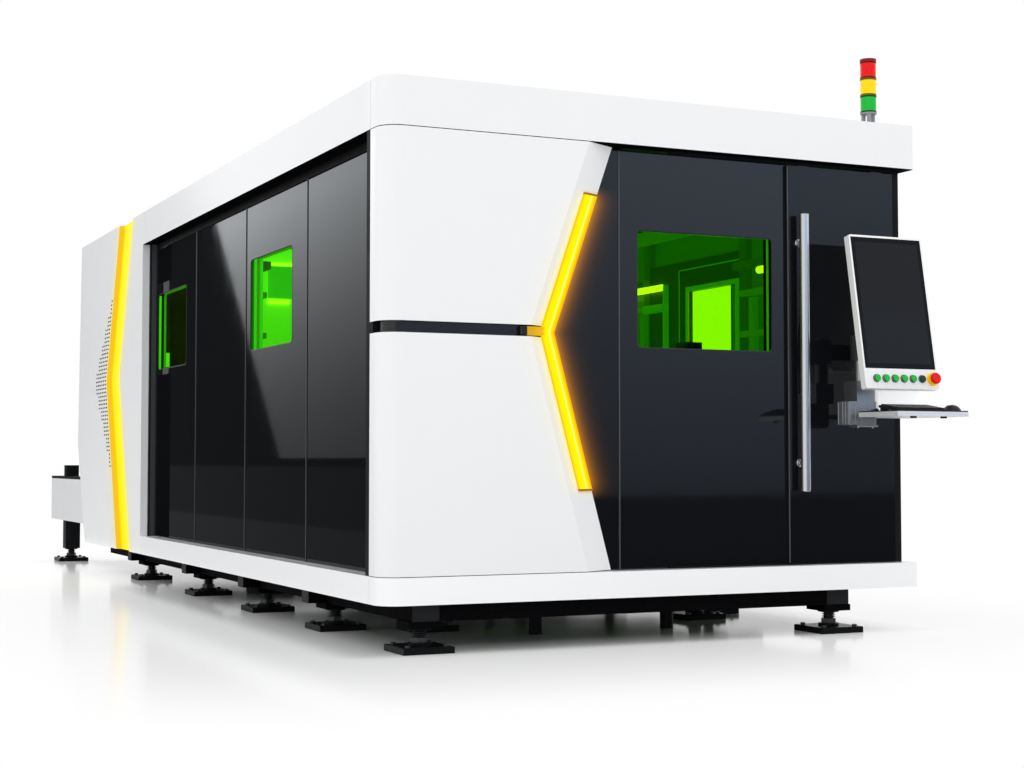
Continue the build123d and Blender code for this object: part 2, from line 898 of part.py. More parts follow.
def groove_prism(half_width, x_low, x_high, extra):
    """The bent groove as a bar of this half width, running past roof and skirt by extra."""
    levels = (skirt_height - extra, groove_kink_z, roof_z + extra)
    rear_edge = [(groove_middle(z) + half_width, z) for z in levels]
    front_edge = [(groove_middle(z) - half_width, z) for z in reversed(levels)]
    return side_prism(rear_edge + front_edge, x_low, x_high)


def cabinet_outline(inset):
    """Side outline of a rear cover, set in on all sides."""
    return [
        (rear_start + inset, skirt_height + inset),
        (rear_foot_y - inset, skirt_height + inset),
        (rear_knee_y - inset, rear_knee_z),
        (rear_top_y - inset, roof_z - inset),
        (rear_start + inset, roof_z - inset),
    ]


def vent_slots():
    """Rows of slots behind the groove; together they form an arrowhead."""
    row_count = int((vent_top - vent_bottom) / vent_row_pitch) + 1
    slots = []
    for row in range(row_count):
        z = vent_bottom + row * vent_row_pitch
        if z >= groove_kink_z:
            share = (vent_top - z) / (vent_top - groove_kink_z)
        else:
            share = (z - vent_bottom) / (groove_kink_z - vent_bottom)
        start = groove_middle(z) + groove_width / 2 + vent_margin
        reach = share * (vent_reach - groove_width / 2 - vent_margin)
        for column in range(int(reach / vent_pitch) + 1):
            y = start + column * vent_pitch
            slots.append(block((-overrun, sheet + overrun), (y, y + vent_length), around(z, vent_height)))
    return slots


def rear_covers():
    """Closed cabinets with a bent light groove and a field of vent slots in the outer skin."""
    shell = side_prism(cabinet_outline(0), 0, cabinet_width)
    half = groove_width / 2
    shell -= groove_prism(half, -overrun, groove_depth, overrun)
    cavity = side_prism(cabinet_outline(sheet), sheet, cabinet_width - sheet)
    cavity -= groove_prism(half + sheet, -overrun, groove_depth + sheet, overrun)
    shell -= cavity
    shell -= vent_slots()
    return across([shell])


def side_leds():
    """Light channels that line the grooves of the rear covers."""
    half = groove_width / 2
    liner = groove_prism(half, 0, groove_depth, 0)
    liner -= groove_prism(half - led_wall, -overrun, groove_depth - led_wall, overrun)
    return across([liner])


def laser_source():
    """Chassis of the laser source, on the floor of the left cabinet."""
    x_span = (source_inset_x, source_inset_x + source_width)
    z_span = (skirt_height + sheet, skirt_height + sheet + source_height)
    chassis = block(x_span, (source_y, source_y + source_length), z_span)
    return [chamfer(chassis.edges().filter_by(Axis.Z), case_chamfer)]


def control_cabinet():
    """Chassis of drives and control, on the floor of the right cabinet."""
    x_high = machine_width - source_inset_x
    z_span = (skirt_height + sheet, skirt_height + sheet + control_height)
    chassis = block((x_high - source_width, x_high), (source_y, source_y + control_length), z_span)
    return [chamfer(chassis.edges().filter_by(Axis.Z), case_chamfer)]


def cross_walls():
    """Partition above and below the pallet's way, and the portal over the tunnel's end."""
    x_span = (cabinet_width, machine_width - cabinet_width)
    y_low = rear_start + wall_gap
    y_span = (y_low, y_low + wall_depth)
    high = (gate_opening_top, roof_z - roof_depth)
    low = (skirt_height, gate_opening_bottom)
    portal_z = (portal_bottom, roof_z - roof_depth)
    return [
        hollow((x_span, y_span, high), sheet, open_high=(0, 1, 0)),
        hollow((x_span, y_span, low), sheet, open_high=(0, 1, 0)),
        hollow((x_span, (portal_y, portal_y + wall_depth), portal_z), sheet, open_low=(0, 1, 0)),
    ]


def gate_guides():
    """Upright channels on the cabinets' inner walls, in which the gate runs."""
    wall_x = cabinet_width
    middle = gate_front + gate_thickness / 2
    guide = block((wall_x, wall_x + guide_width), around(middle, guide_depth), (guide_bottom, guide_top))
    slot_x = (wall_x + guide_width - guide_slot, wall_x + guide_width + overrun)
    slot_y = around(middle, gate_thickness + 2 * slide_gap)
    guide -= block(slot_x, slot_y, (guide_bottom - overrun, guide_top + overrun))
    return across([guide])


def gate_panel():
    """Lifting gate over the pallet's way, shown raised."""
    edge = cabinet_width + guide_width - guide_slot + slide_gap
    y_span = (gate_front, gate_front + gate_thickness)
    return [block((edge, machine_width - edge), y_span, (gate_bottom, gate_bottom + gate_height))]


# Machine bed
def machine_bed():
    """Two welded side boxes tied by cross members."""
    x_span = (bed_inset, bed_inset + bed_side_width)
    solids = across([tube_along(1, x_span, (bed_front, bed_rear), (skirt_height, bed_top))])
    between = (x_span[1], machine_width - x_span[1])
    z_span = (bed_cross_bottom, bed_cross_bottom + bed_cross_height)
    for y in bed_cross_y:
        solids.append(tube_along(0, between, around(y, bed_cross_width), z_span))
    return solids


def guide_rails():
    """A linear rail and a gear rack on each bed side."""
    y_span = (bed_front + rail_end, bed_rear - rail_end)
    rail = block(around(bed_rail_x, rail_section_width), y_span, (bed_top, bed_top + rail_section_height))
    rack_x = (bed_inset + rack_inset, bed_inset + rack_inset + rack_width)
    rack = block(rack_x, y_span, (bed_top, bed_top + rack_height))
    return across([rail, rack])


def pallet_rails():
    """Flat tracks from the chamber through the gate to the end of the table."""
    x_low = bed_inset + bed_side_width
    y_span = (track_front, table_rear - track_rear_gap)
    return across([block((x_low, x_low + track_bar_width), y_span, (track_bottom, track_top))])


def scrap_trough():
    """Open tray under the pallet, on the bed's cross members."""
    x_low = bed_inset + bed_side_width + trough_margin
    z_low = bed_cross_bottom + bed_cross_height
    spans = ((x_low, machine_width - x_low), (trough_front, trough_rear), (z_low, z_low + trough_height))
    return [hollow(spans, sheet, open_high=(0, 0, 1))]


def light_bars():
    """Chamber lamps between the posts of the panels that have no window."""
    x_low = band_depth + rail_width
    bars = []
    for index in range(side_panel_count):
        if has_window(index):
            continue
        start = side_start + index * side_panel_pitch - post_width / 2
        y_span = (start, start + side_panel_pitch + post_width)
        bars.append(block((x_low, x_low + light_depth), y_span, (light_bottom, light_bottom + light_height)))
    return across(bars)


# Gantry, carriage and cutting head
def gantry_beam():
    """Box beam on two saddles, with two linear rails on its front face."""
    x_span = (bed_inset, machine_width - bed_inset)
    beam = tube_along(0, x_span, (gantry_front, gantry_rear), (gantry_bottom, gantry_top))
    shoe_top = bed_top + shoe_lift + shoe_height
    saddle_y = around(gantry_y, gantry_depth + shoe_width)
    saddle = block(around(bed_rail_x, saddle_width), saddle_y, (shoe_top, gantry_bottom))
    solids = [beam] + across([saddle])
    rail_x = (x_span[0] + cross_rail_end, x_span[1] - cross_rail_end)
    for z in cross_rail_z:
        rail_y = (gantry_front - cross_rail_depth, gantry_front)
        solids.append(block(rail_x, rail_y, around(z, cross_rail_height)))
    return solids


def gantry_shoes():
    """Four runner blocks that straddle the bed rails."""
    bottom = bed_top + shoe_lift
    shoe_offset = (gantry_depth + shoe_width - shoe_length) / 2
    shoes = []
    for side in (-1, 1):
        y_span = around(gantry_y + side * shoe_offset, shoe_length)
        shoe = block(around(bed_rail_x, shoe_width), y_span, (bottom, bottom + shoe_height))
        slot_y = (y_span[0] - overrun, y_span[1] + overrun)
        slot_z = (bottom - overrun, bed_top + rail_section_height + seat_gap)
        shoe -= block(around(bed_rail_x, rail_section_width + 2 * slide_gap), slot_y, slot_z)
        shoes.append(shoe)
    return across(shoes)


def gantry_motors():
    """A drive motor with gearbox and flange on each end of the beam."""
    flange_top = gantry_top + motor_flange_height
    gearbox_top = flange_top + gearbox_height
    flange_z = (gantry_top, flange_top)
    flange = block(around(bed_rail_x, motor_flange), around(gantry_y, motor_flange), flange_z)
    gearbox = upright(bed_rail_x, gantry_y, flange_top, gearbox_top, gearbox_diameter)
    motor_z = (gearbox_top, gearbox_top + motor_height)
    motor = block(around(bed_rail_x, motor_width), around(gantry_y, motor_width), motor_z)
    motor = fillet(motor.edges().filter_by(Axis.Z), motor_fillet)
    return across([flange + gearbox + motor])


def carriage():
    """Carriage that straddles the beam's rails and carries two upright rails."""
    z_span = (carriage_bottom, carriage_bottom + carriage_height)
    body = block(around(middle_x, carriage_width), (carriage_front, carriage_back), z_span)
    slot_x = around(middle_x, carriage_width + 2 * overrun)
    slot_y = (gantry_front - cross_rail_depth - slide_gap, carriage_back + overrun)
    for z in cross_rail_z:
        body -= block(slot_x, slot_y, around(z, cross_rail_height + 2 * slide_gap))
    rail_y = (carriage_front - lift_rail_depth, carriage_front)
    for side in (-1, 1):
        rail_x = around(middle_x + side * lift_rail_offset, lift_rail_width)
        body += block(rail_x, rail_y, z_span)
    return [body]


def cutting_head():
    """Lifting plate, bridge, head body and nozzle."""
    back = carriage_front - carriage_gap
    front = back - head_plate_depth
    plate_z = (head_plate_bottom, head_plate_bottom + head_plate_height)
    plate = block(around(middle_x, head_plate_width), (front, back), plate_z)
    slot_y = (carriage_front - lift_rail_depth - slide_gap, back + overrun)
    slot_z = (plate_z[0] - overrun, plate_z[1] + overrun)
    for side in (-1, 1):
        slot_x = around(middle_x + side * lift_rail_offset, lift_rail_width + 2 * slide_gap)
        plate -= block(slot_x, slot_y, slot_z)
    axis_y = front - head_stand
    body_top = head_body_bottom + head_body_height
    bridge_z = around((plate_z[0] + plate_z[1]) / 2, head_bridge_height)
    bridge = block(around(middle_x, head_bridge_width), (axis_y, front), bridge_z)
    body = upright(middle_x, axis_y, head_body_bottom, body_top, head_diameter)
    cone = taper(middle_x, axis_y, head_neck_top, head_body_bottom, head_neck_diameter, head_diameter)
    neck = upright(middle_x, axis_y, nozzle_top, head_neck_top, head_neck_diameter)
    nozzle = taper(middle_x, axis_y, nozzle_tip, nozzle_top, nozzle_tip_diameter, nozzle_diameter)
    return [plate + bridge + body + cone + neck + nozzle]


# Pallet and exchange table
def pallet_frame():
    """Rectangular frame with two bearers under the slats."""
    x_low = middle_x - pallet_width / 2
    x_high = middle_x + pallet_width / 2
    z_span = (pallet_bottom, pallet_top)
    frame = block((x_low, x_high), (pallet_front, pallet_rear), z_span)
    inner_x = (x_low + pallet_bar, x_high - pallet_bar)
    inner_y = (pallet_front + pallet_bar, pallet_rear - pallet_bar)
    inner_z = (pallet_bottom - overrun, pallet_top + overrun)
    frame -= block(inner_x, inner_y, inner_z)
    for share in pallet_bearer_shares:
        bearer_x = around(x_low + share * pallet_width, pallet_bearer_width)
        frame += block(bearer_x, (pallet_front + pallet_bar, pallet_rear - pallet_bar), z_span)
    return [frame]


def pallet_slats():
    """Toothed slats across the pallet."""
    length = pallet_width - 2 * slat_inset
    pitch = length / slat_tooth_count
    root = slat_height * (1 - slat_tooth_share)
    points = [(0, 0), (length, 0), (length, root)]
    for index in reversed(range(slat_tooth_count)):
        points.append(((index + 1 / 2) * pitch, slat_height))
        points.append((index * pitch, root))
    profile = Plane.XZ * Polygon(*points, align=None)
    slat = extrude(profile, slat_thickness / 2, both=True)
    spacing = (pallet_length - pallet_bar) / (slat_count - 1)
    first = pallet_front + pallet_bar / 2
    x_low = middle_x - length / 2
    return [Pos(x_low, first + index * spacing, pallet_top) * slat for index in range(slat_count)]


def table_sides():
    """White side beams of the exchange table, cut to the slope of the rear covers."""
    slope = (rear_knee_y - rear_foot_y) / (rear_knee_z - skirt_height)
    ends = []
    for z in (table_side_bottom, table_side_top):
        ends.append((rear_foot_y + slope * (z - skirt_height) + seam, z))
    points = [ends[0], (table_rear, table_side_bottom), (table_rear, table_side_top), ends[1]]
    return across([side_prism(points, table_inset, table_inset + table_side_width)])


def table_frame():
    """Top strips, cross beams, tunnel posts, legs and end stops of the table."""
    x_low = table_inset + table_side_width
    z_span = (table_cross_bottom, track_bottom)
    solids = []
    for y in table_cross_y:
        solids.append(tube_along(0, (x_low, machine_width - x_low), around(y, table_cross_width), z_span))
    tunnel_low = cabinet_width + tunnel_gap
    left = []
    for y in tunnel_cross_y:
        span = (tunnel_low, machine_width - tunnel_low)
        solids.append(tube_along(0, span, around(y, table_cross_width), z_span))
        post_low = tunnel_low + tunnel_post_inset
        post_x_span = (post_low, post_low + tunnel_post_width)
        left.append(tube_along(2, post_x_span, around(y, tunnel_post_width), (skirt_height, z_span[0])))
    strip_x = (table_inset, table_inset + table_strip_width)
    left.append(block(strip_x, (rear_knee_y, table_rear), (table_side_top, strip_top)))
    leg_x = (table_inset, table_inset + table_leg_width)
    leg_y = around(table_leg_y, table_leg_width)
    left.append(tube_along(2, leg_x, leg_y, (bracket_bottom + tube_wall, table_side_bottom)))
    left.append(block(leg_x, leg_y, (bracket_bottom, bracket_bottom + tube_wall)))
    stop_x = around(table_inset + table_side_width / 2, stop_width)
    left.append(block(stop_x, around(table_leg_y, stop_width), (strip_top, strip_top + stop_height)))
    return solids + across(left)


# Signal tower
def tower_tier(index):
    """One lens of the tower, with a rim at its top and bottom."""
    low = roof_z + tower_base_height + index * tower_tier_height
    high = low + tower_tier_height
    lens = upright(tower_x, tower_y, low, high, tower_diameter - 2 * tower_waist)
    lens += upright(tower_x, tower_y, low, low + tower_rim_height, tower_diameter)
    lens += upright(tower_x, tower_y, high - tower_rim_height, high, tower_diameter)
    return [lens]


def tower_base():
    """Foot, three legs and socket of the tower, and its cap."""
    socket_low = roof_z + tower_base_height - tower_foot_height
    foot = upright(tower_x, tower_y, roof_z, roof_z + tower_foot_height, tower_foot_diameter)
    legs = [Pos(tower_x, tower_y) * place * upright(0, 0, roof_z, socket_low, tower_leg_diameter)
            for place in PolarLocations(tower_leg_circle / 2, tower_leg_count)]
    socket = upright(tower_x, tower_y, socket_low, socket_low + tower_foot_height, tower_diameter)
    cap_low = roof_z + tower_base_height + 3 * tower_tier_height
    cap = upright(tower_x, tower_y, cap_low, cap_low + tower_cap_height, tower_diameter)
    return [foot + legs + socket, cap]


def tower_green():
    return tower_tier(0)


def tower_yellow():
    return tower_tier(1)


def tower_red():
    return tower_tier(2)


# Console arm
def console_bracket():
    """Block on the right front column, with two lugs and the arm's pin."""
    lug_low = arm_bottom - arm_lug_height
    lug_high = arm_top + arm_lug_height
    column_edge = machine_width - column_inset
    block_x = (column_edge - bracket_block_width, column_edge)
    bracket = block(block_x, (pivot_y + arm_barrel_diameter, fascia_y), (lug_low, lug_high))
    for z_span in ((lug_low, arm_bottom), (arm_top, lug_high)):
        bracket += upright(pivot_x, pivot_y, z_span[0], z_span[1], arm_barrel_diameter)
        bracket += block(block_x, (pivot_y, pivot_y + arm_barrel_diameter), z_span)
    return [bracket + upright(pivot_x, pivot_y, lug_low, lug_high, arm_pin_diameter)]


def console_arm():
    """Straight arm from the bracket's pin to the knuckle over the console's post."""
    run_x = post_x - pivot_x
    run_y = post_y - pivot_y
    length = hypot(run_x, run_y)
    low = arm_bottom + seat_gap
    high = arm_top - seat_gap
    middle_z = (arm_bottom + arm_top) / 2
    bar = Pos(length / 2, 0, 0) * Box(length, arm_bar_width, arm_bar_height)
    arm = Pos(pivot_x, pivot_y, middle_z) * Rot(0, 0, degrees(atan2(run_y, run_x))) * bar
    arm += upright(pivot_x, pivot_y, low, high, arm_barrel_diameter)
    arm += upright(post_x, post_y, low, high, knuckle_diameter)
    for x, y, diameter in ((pivot_x, pivot_y, arm_pin_diameter), (post_x, post_y, post_pin_diameter)):
        bore = upright(x, y, arm_bottom - overrun, arm_top + overrun, diameter + 2 * pin_gap)
        arm -= bore
    return [arm]


# Console
def swivel_post():
    """Stepped post: block, collar, neck and the pin that turns in the arm's knuckle."""
    base = block((block_left, block_right), (block_front, block_rear), (block_bottom, block_top))
    collar = block((collar_left, collar_right), (collar_front, collar_rear), (block_top, neck_bottom))
    neck = upright(post_x, post_y, neck_bottom, arm_bottom, neck_diameter)
    pin = upright(post_x, post_y, arm_bottom, arm_top, post_pin_diameter)
    cap = upright(post_x, post_y, arm_top, arm_top + post_cap_height, neck_diameter)
    return [base + collar + neck + pin + cap]


def console_tray():
    """Keyboard tray with a lip; its narrow rear part carries the column and meets the post."""
    outline = [
        (tray_left, tray_front), (tray_right, tray_front), (tray_right, tray_waist),
        (column_right, tray_waist), (column_right, tray_rear), (block_right, tray_rear),
        (block_right, tray_waist), (tray_left, tray_waist),
    ]
    low = tray_top - tray_thickness
    tray = extrude(Pos(0, 0, low) * Polygon(*outline, align=None), tray_thickness, dir=(0, 0, 1))
    panel_x = (tray_left + tray_lip, tray_right - tray_lip)
    panel_y = (tray_front + tray_lip, tray_waist - tray_lip)
    tray -= block(panel_x, panel_y, (tray_top - tray_panel_depth, tray_top + overrun))
    return [tray]


def console_column():
    """Box that carries the screen, with two lugs and the tilt pin."""
    x_span = (column_left, column_right)
    column = block(x_span, (column_front, tray_rear), (tray_top, column_top))
    lug_y = (tilt_y - tilt_barrel_diameter / 2, column_front + tilt_barrel_diameter)
    lug_z = (column_top - tilt_barrel_diameter, tilt_z + tilt_barrel_diameter / 2)
    low = column_left + tilt_lug_inset
    high = column_right - tilt_lug_inset
    for span in ((low, low + tilt_lug_width), (high - tilt_lug_width, high)):
        column += block(span, lug_y, lug_z)
    pin = Rot(0, 90, 0) * Cylinder(tilt_pin_diameter / 2, high - low)
    return [column + Pos((low + high) / 2, tilt_y, tilt_z) * pin]


def keyboard():
    """Keyboard that leans forward on two rear legs, with its keys fused on."""
    floor_z = tray_top - tray_panel_depth
    deck_z = floor_z + keyboard_height
    x_span = (keyboard_left, keyboard_left + keyboard_width)
    y_span = (keyboard_front, keyboard_front + keyboard_depth)
    deck = block(x_span, y_span, (floor_z, deck_z))
    pitch_x = (keyboard_width - 2 * keyboard_rim) / key_column_count
    pitch_y = (keyboard_depth - 2 * keyboard_rim) / key_row_count
    key = Rectangle(key_share * pitch_x, key_share * pitch_y)
    centre = (keyboard_left + keyboard_width / 2, keyboard_front + keyboard_depth / 2, deck_z)
    grid = GridLocations(pitch_x, pitch_y, key_column_count, key_row_count)
    deck += [extrude(Pos(*centre) * place * key, key_height) for place in grid]
    hinge = Pos(0, keyboard_front, floor_z)
    lean = degrees(asin(keyboard_rise / keyboard_depth))
    deck = hinge * Rot(lean, 0, 0) * hinge.inverse() * deck
    rear = keyboard_front + keyboard_depth * cos(radians(lean))
    leg_y = (rear - keyboard_leg_width, rear - keyboard_rim)
    for x in (x_span[0] + keyboard_rim, x_span[1] - keyboard_rim - keyboard_leg_width):
        deck += block((x, x + keyboard_leg_width), leg_y, (floor_z, floor_z + keyboard_rise))
    return [deck]


def mouse():
    """Low dome with a flat base."""
    floor_z = tray_top - tray_panel_depth
    dome = scale(Sphere(1), (mouse_width / 2, mouse_length / 2, mouse_height))
    base = block(around(0, mouse_width), around(0, mouse_length), (0, mouse_height))
    return [Pos(mouse_x, mouse_y, floor_z) * (dome & base)]


# Screen, buttons and emergency stop, in the plane of the leaning panel
def panel_plane():
    """Plane of the panel's face: X to the right, Y up the slant, Z out towards the user."""
    lean = radians(screen_lean)
    origin = (screen_left, screen_front_y, screen_bottom_z)
    return Plane(origin=origin, x_dir=(1, 0, 0), z_dir=(0, -cos(lean), sin(lean)))


def panel_drum(along, up, low, high, diameter):
    """A cylinder that stands on the panel's face, from low to high."""
    drum = Cylinder(diameter / 2, high - low, align=(Align.CENTER, Align.CENTER, Align.MIN))
    return panel_plane().location * Pos(along, up, low) * drum


def panel_block(x_span, y_span, z_span):
    """A box in the panel's own directions."""
    return panel_plane().location * block(x_span, y_span, z_span)


def button_place(number):
    """Place of a push button along the row."""
    return button_first + (number - 1) * button_pitch


def screen_housing():
    """Flat housing with a seat for the glass, stem holes, and the barrel of the tilt hinge."""
    housing = block((0, screen_width), (0, screen_slant), (-screen_thickness, 0))
    housing = fillet(housing.edges().filter_by(Axis.Z), screen_radius)
    housing = panel_plane().location * housing
    seat_x = (glass_inset, screen_width - glass_inset)
    seat_y = (glass_bottom, screen_slant - glass_inset)
    housing -= panel_block(seat_x, seat_y, (-screen_glass_thickness, overrun))
    holes = [(button_place(index + 1), button_stem_diameter) for index in range(button_count)]
    holes.append((screen_width - estop_from_right, estop_stem_diameter))
    for along, diameter in holes:
        bore = diameter + 2 * button_stem_gap
        housing -= panel_drum(along, button_row, -screen_thickness / 2, overrun, bore)
    low = column_left + tilt_lug_inset + tilt_lug_width + seat_gap
    high = column_right - tilt_lug_inset - tilt_lug_width - seat_gap
    axis = Pos((low + high) / 2, tilt_y, tilt_z) * Rot(0, 90, 0)
    web_y = (tilt_y - tilt_barrel_diameter, tilt_y)
    web = block((low, high), web_y, around(tilt_z, tilt_barrel_diameter))
    front_side = panel_block((0, screen_width), (0, screen_slant), (-screen_thickness / 2, screen_slant))
    housing += (web - front_side) + axis * Cylinder(tilt_barrel_diameter / 2, high - low)
    housing -= axis * Cylinder(tilt_pin_diameter / 2 + pin_gap, high - low + 2 * overrun)
    return [housing]


def screen_glass():
    """Glass of the display, flush in its seat."""
    x_span = (glass_inset, screen_width - glass_inset)
    y_span = (glass_bottom, screen_slant - glass_inset)
    return [panel_block(x_span, y_span, (-screen_glass_thickness, 0))]


def push_button(number):
    """A push button: chamfered cap on a stem that runs in the panel."""
    along = button_place(number)
    cap = panel_drum(along, button_row, button_lift, button_lift + button_cap_height, button_diameter)
    cap = chamfer(cap.edges().filter_by(GeomType.CIRCLE), button_chamfer)
    stem = panel_drum(along, button_row, button_lift - button_stem_length, button_lift, button_stem_diameter)
    return [cap + stem]


def estop_base():
    """Ring under the emergency stop."""
    along = screen_width - estop_from_right
    ring = panel_drum(along, button_row, 0, estop_base_height, estop_base_diameter)
    bore = estop_stem_diameter + 2 * button_stem_gap
    return [ring - panel_drum(along, button_row, -overrun, estop_base_height + overrun, bore)]


def estop_button():
    """Mushroom head of the emergency stop on its stem."""
    along = screen_width - estop_from_right
    low = estop_base_height + estop_lift
    head = panel_drum(along, button_row, low, low + estop_height, estop_diameter)
    head = fillet(head.edges().filter_by(GeomType.CIRCLE), estop_fillet)
    stem = panel_drum(along, button_row, low - button_stem_length - estop_lift, low, estop_stem_diameter)
    return [head + stem]


makers = [
    base_frame, levelling_feet, foot_fasteners, enclosure_frame, lower_bands, upper_bands, roof_panels,
    front_covers, slot_trim, front_led, front_fascia, window_panel, front_window, side_panels,
    side_windows, door_track, rear_covers, side_leds, cross_walls, gate_guides, laser_source,
    control_cabinet, machine_bed, guide_rails, pallet_rails, scrap_trough, light_bars, table_sides,
    table_frame, tower_base, tower_green, tower_yellow, tower_red, console_bracket, door_leaf,
    door_handle, gantry_beam, gantry_shoes, gantry_motors, carriage, cutting_head, gate_panel,
    pallet_frame, pallet_slats, console_arm, swivel_post, console_tray, console_column, keyboard,
    mouse, screen_housing, screen_glass, estop_base, estop_button,
]

pieces = {maker.__name__: maker() for maker in makers}
for number in range(1, button_count + 1):
    pieces[f"button_{number}"] = push_button(number)

os.makedirs("parts", exist_ok=True)
for name, solids in pieces.items():
    placed = [Pos(-middle_x, -middle_y, 0) * solid for solid in solids]
    export_step(Compound(placed), f"parts/{name}.step")
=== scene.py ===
"""Looks of an enclosed fiber laser cutting machine: finishes, small fittings and a plain studio.

Every length is in metres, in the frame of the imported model: X to the machine's right, Y rearwards,
Z up from the floor.
"""
import math

import bmesh
import bpy
import numpy as np
from bpy.props import FloatProperty, FloatVectorProperty, PointerProperty
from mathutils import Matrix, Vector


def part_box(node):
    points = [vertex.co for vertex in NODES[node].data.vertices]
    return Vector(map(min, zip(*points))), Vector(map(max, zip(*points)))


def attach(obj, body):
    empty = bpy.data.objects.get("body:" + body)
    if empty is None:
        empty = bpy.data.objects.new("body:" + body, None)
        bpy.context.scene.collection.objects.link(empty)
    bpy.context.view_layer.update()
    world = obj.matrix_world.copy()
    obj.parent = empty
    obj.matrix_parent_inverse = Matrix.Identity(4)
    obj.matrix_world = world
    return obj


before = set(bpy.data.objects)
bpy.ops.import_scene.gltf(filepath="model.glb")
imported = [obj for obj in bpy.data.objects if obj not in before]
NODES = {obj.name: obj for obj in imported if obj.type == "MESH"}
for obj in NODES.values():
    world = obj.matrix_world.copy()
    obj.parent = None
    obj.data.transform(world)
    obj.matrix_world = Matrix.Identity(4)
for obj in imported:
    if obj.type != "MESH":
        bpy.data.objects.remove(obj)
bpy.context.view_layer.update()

bl_info = {
    "name": "Laser cutting machine finishes",
    "version": (1, 0, 0),
    "blender": (4, 5, 0),
    "location": "3D View > Sidebar > Laser cutter",
    "description": "Paints the machine, adds its small fittings and sets up a pale studio",
    "category": "Object",
}

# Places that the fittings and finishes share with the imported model
GLASS_LAP = 0.018  # glass behind the edge of its opening
PANEL_LEAN = math.radians(9.9)  # of the screen housing
SCREEN_CORNER = np.array([0.843, -3.880, 1.082])  # its lower left corner
FRONT_Y = -3.650  # face of the front covers
FACET = np.array([0.147, 0.080])  # width and depth of the slanted facet beside them
FACET_ANGLE = math.atan2(FACET[1], FACET[0])
KINK_Z = 1.2995  # the covers' edge is two straight runs, given as (height, x), that meet here
OUTLINE_TOP = (2.100, 0.918 - 1.295)
OUTLINE_KINK = 0.638 - 1.295
OUTLINE_FOOT = (0.310, 0.907 - 1.295)
LED_SHARES = (0.42, 0.97)  # edges of the front light strip, as shares of the facet
LED_LIFT = 0.009  # face of the strip above the facet
STRIP_ENDS = ((0.644, 0.652), (1.880, 1.888))  # heights of its end caps
GROOVE_TOP = (2.300, 1.026)  # middle of the rear light channel, as (height, y)
GROOVE_KINK = (1.300, 1.397)
GROOVE_FOOT = (0.200, 1.035)
GROOVE_HALF = 0.195  # half the channel's width
CHANNEL_LIP = 1.2815  # just inside the channel's lip
COVER_FACE = 1.2940  # just inside the rear covers' outer face
BAND_FOOT = 2.1003  # just above the underside of the upper band
SIDE_FACE = 1.212  # outer face of the side panels
SEAM_Y = (-2.450, -1.450, -0.450)  # seams between them
PANEL_FOOT, PANEL_TOP, LEAF_TOP = 0.312, 2.062, 2.086
POST_FACE = 1.132  # inner face of the side posts
WALL_FACE = 0.555  # front of the cross wall
CHAMBER_X, CHAMBER_Y, CHAMBER_Z = 1.178, (-3.40, 0.40), (0.80, 2.06)  # reach of the chamber's light
JAMB_X, JAMB_Y = (1.2125, 1.2440), 0.30  # outer edge and front of the rear jambs
TUBE_X, TUBE_Z = 1.108, 1.7325
FOOT_X = (-1.070, 0.920)  # feet under the two long beams
BEAM_Y = (-2.450, -1.390, -0.220, 1.200)  # outriggers
BEAM_PLUG = (0.127, 0.198)  # heights of the plugs in the beams' ends
JACKS = [(x, y) for x in (-0.705, 0.705) for y in (-2.670, -0.220)]
TABLE_FEET = [(-1.155, 3.530), (1.155, 3.530)]


def colour(label, value, words):
    """A colour that a user can change."""
    return FloatVectorProperty(name=label, description=words, subtype="COLOR", size=3, min=0, max=1,
                               default=value)


def length(label, value, words):
    """A length that a user can change."""
    return FloatProperty(name=label, description=words, subtype="DISTANCE", unit="LENGTH", min=0,
                         default=value, precision=4)


def number(label, value, words):
    """A plain number that a user can change."""
    return FloatProperty(name=label, description=words, default=value)


class CutterFinishes(bpy.types.PropertyGroup):
    """Colours of the machine."""

    white: colour("White paint", (0.88, 0.888, 0.90), "Powder coat of the bands, covers and table beams")
    charcoal: colour("Charcoal paint", (0.0055, 0.0062, 0.0078), "Gloss paint of the front panels")
    # A darker copy of the charcoal paint, for the side panels: painted shade.
    shaded_side_charcoal: colour("Side charcoal", (0.0035, 0.0042, 0.0052), "Gloss paint of the side panels")
    black: colour("Black paint", (0.005, 0.0052, 0.006), "Satin paint of the frames, trims and feet")
    # The trims' grey, lighter than the panels, is partly their satin paint and partly a painted highlight
    # along the seams.
    seam: colour("Seam trim", (0.060, 0.063, 0.068), "Satin trims over the panel seams")
    inner: colour("Inner paint", (0.26, 0.28, 0.30), "Grey paint inside the chamber")
    casing: colour("Inner casing", (0.035, 0.038, 0.042), "Dark paint round the windows inside")
    spill: colour("Green spill", (0.06, 1.0, 0.10), "Light that the laser glass leaves in the chamber")
    steel: colour("Steel", (0.62, 0.63, 0.65), "Brushed steel of the handle and rails")
    alloy: colour("Alloy", (0.66, 0.68, 0.70), "Satin alloy of the console and the head")
    glass: colour("Window glass", (0.49, 0.985, 0.006), "Tint of the laser glass")
    amber: colour("Light strip", (1.0, 0.86, 0.0), "Glow of the light strips")
    amber_pale: colour("Light strip core", (1.0, 0.93, 0.22), "Palest line of the light strips")
    amber_edge: colour("Light strip edge", (0.84, 0.50, 0.02), "Deeper glow at the strips' walls")
    lamp: colour("Chamber lamp", (0.62, 1.0, 0.40), "Glow of the lamps in the chamber")
    green: colour("Signal green", (0.004, 0.42, 0.035), "Push buttons and tower")
    dark_green: colour("Dark green", (0.006, 0.045, 0.018), "Last push button")
    red: colour("Signal red", (0.72, 0.002, 0.002), "Emergency stop and tower")
    yellow: colour("Signal yellow", (0.95, 0.62, 0.0), "Emergency stop ring and tower")


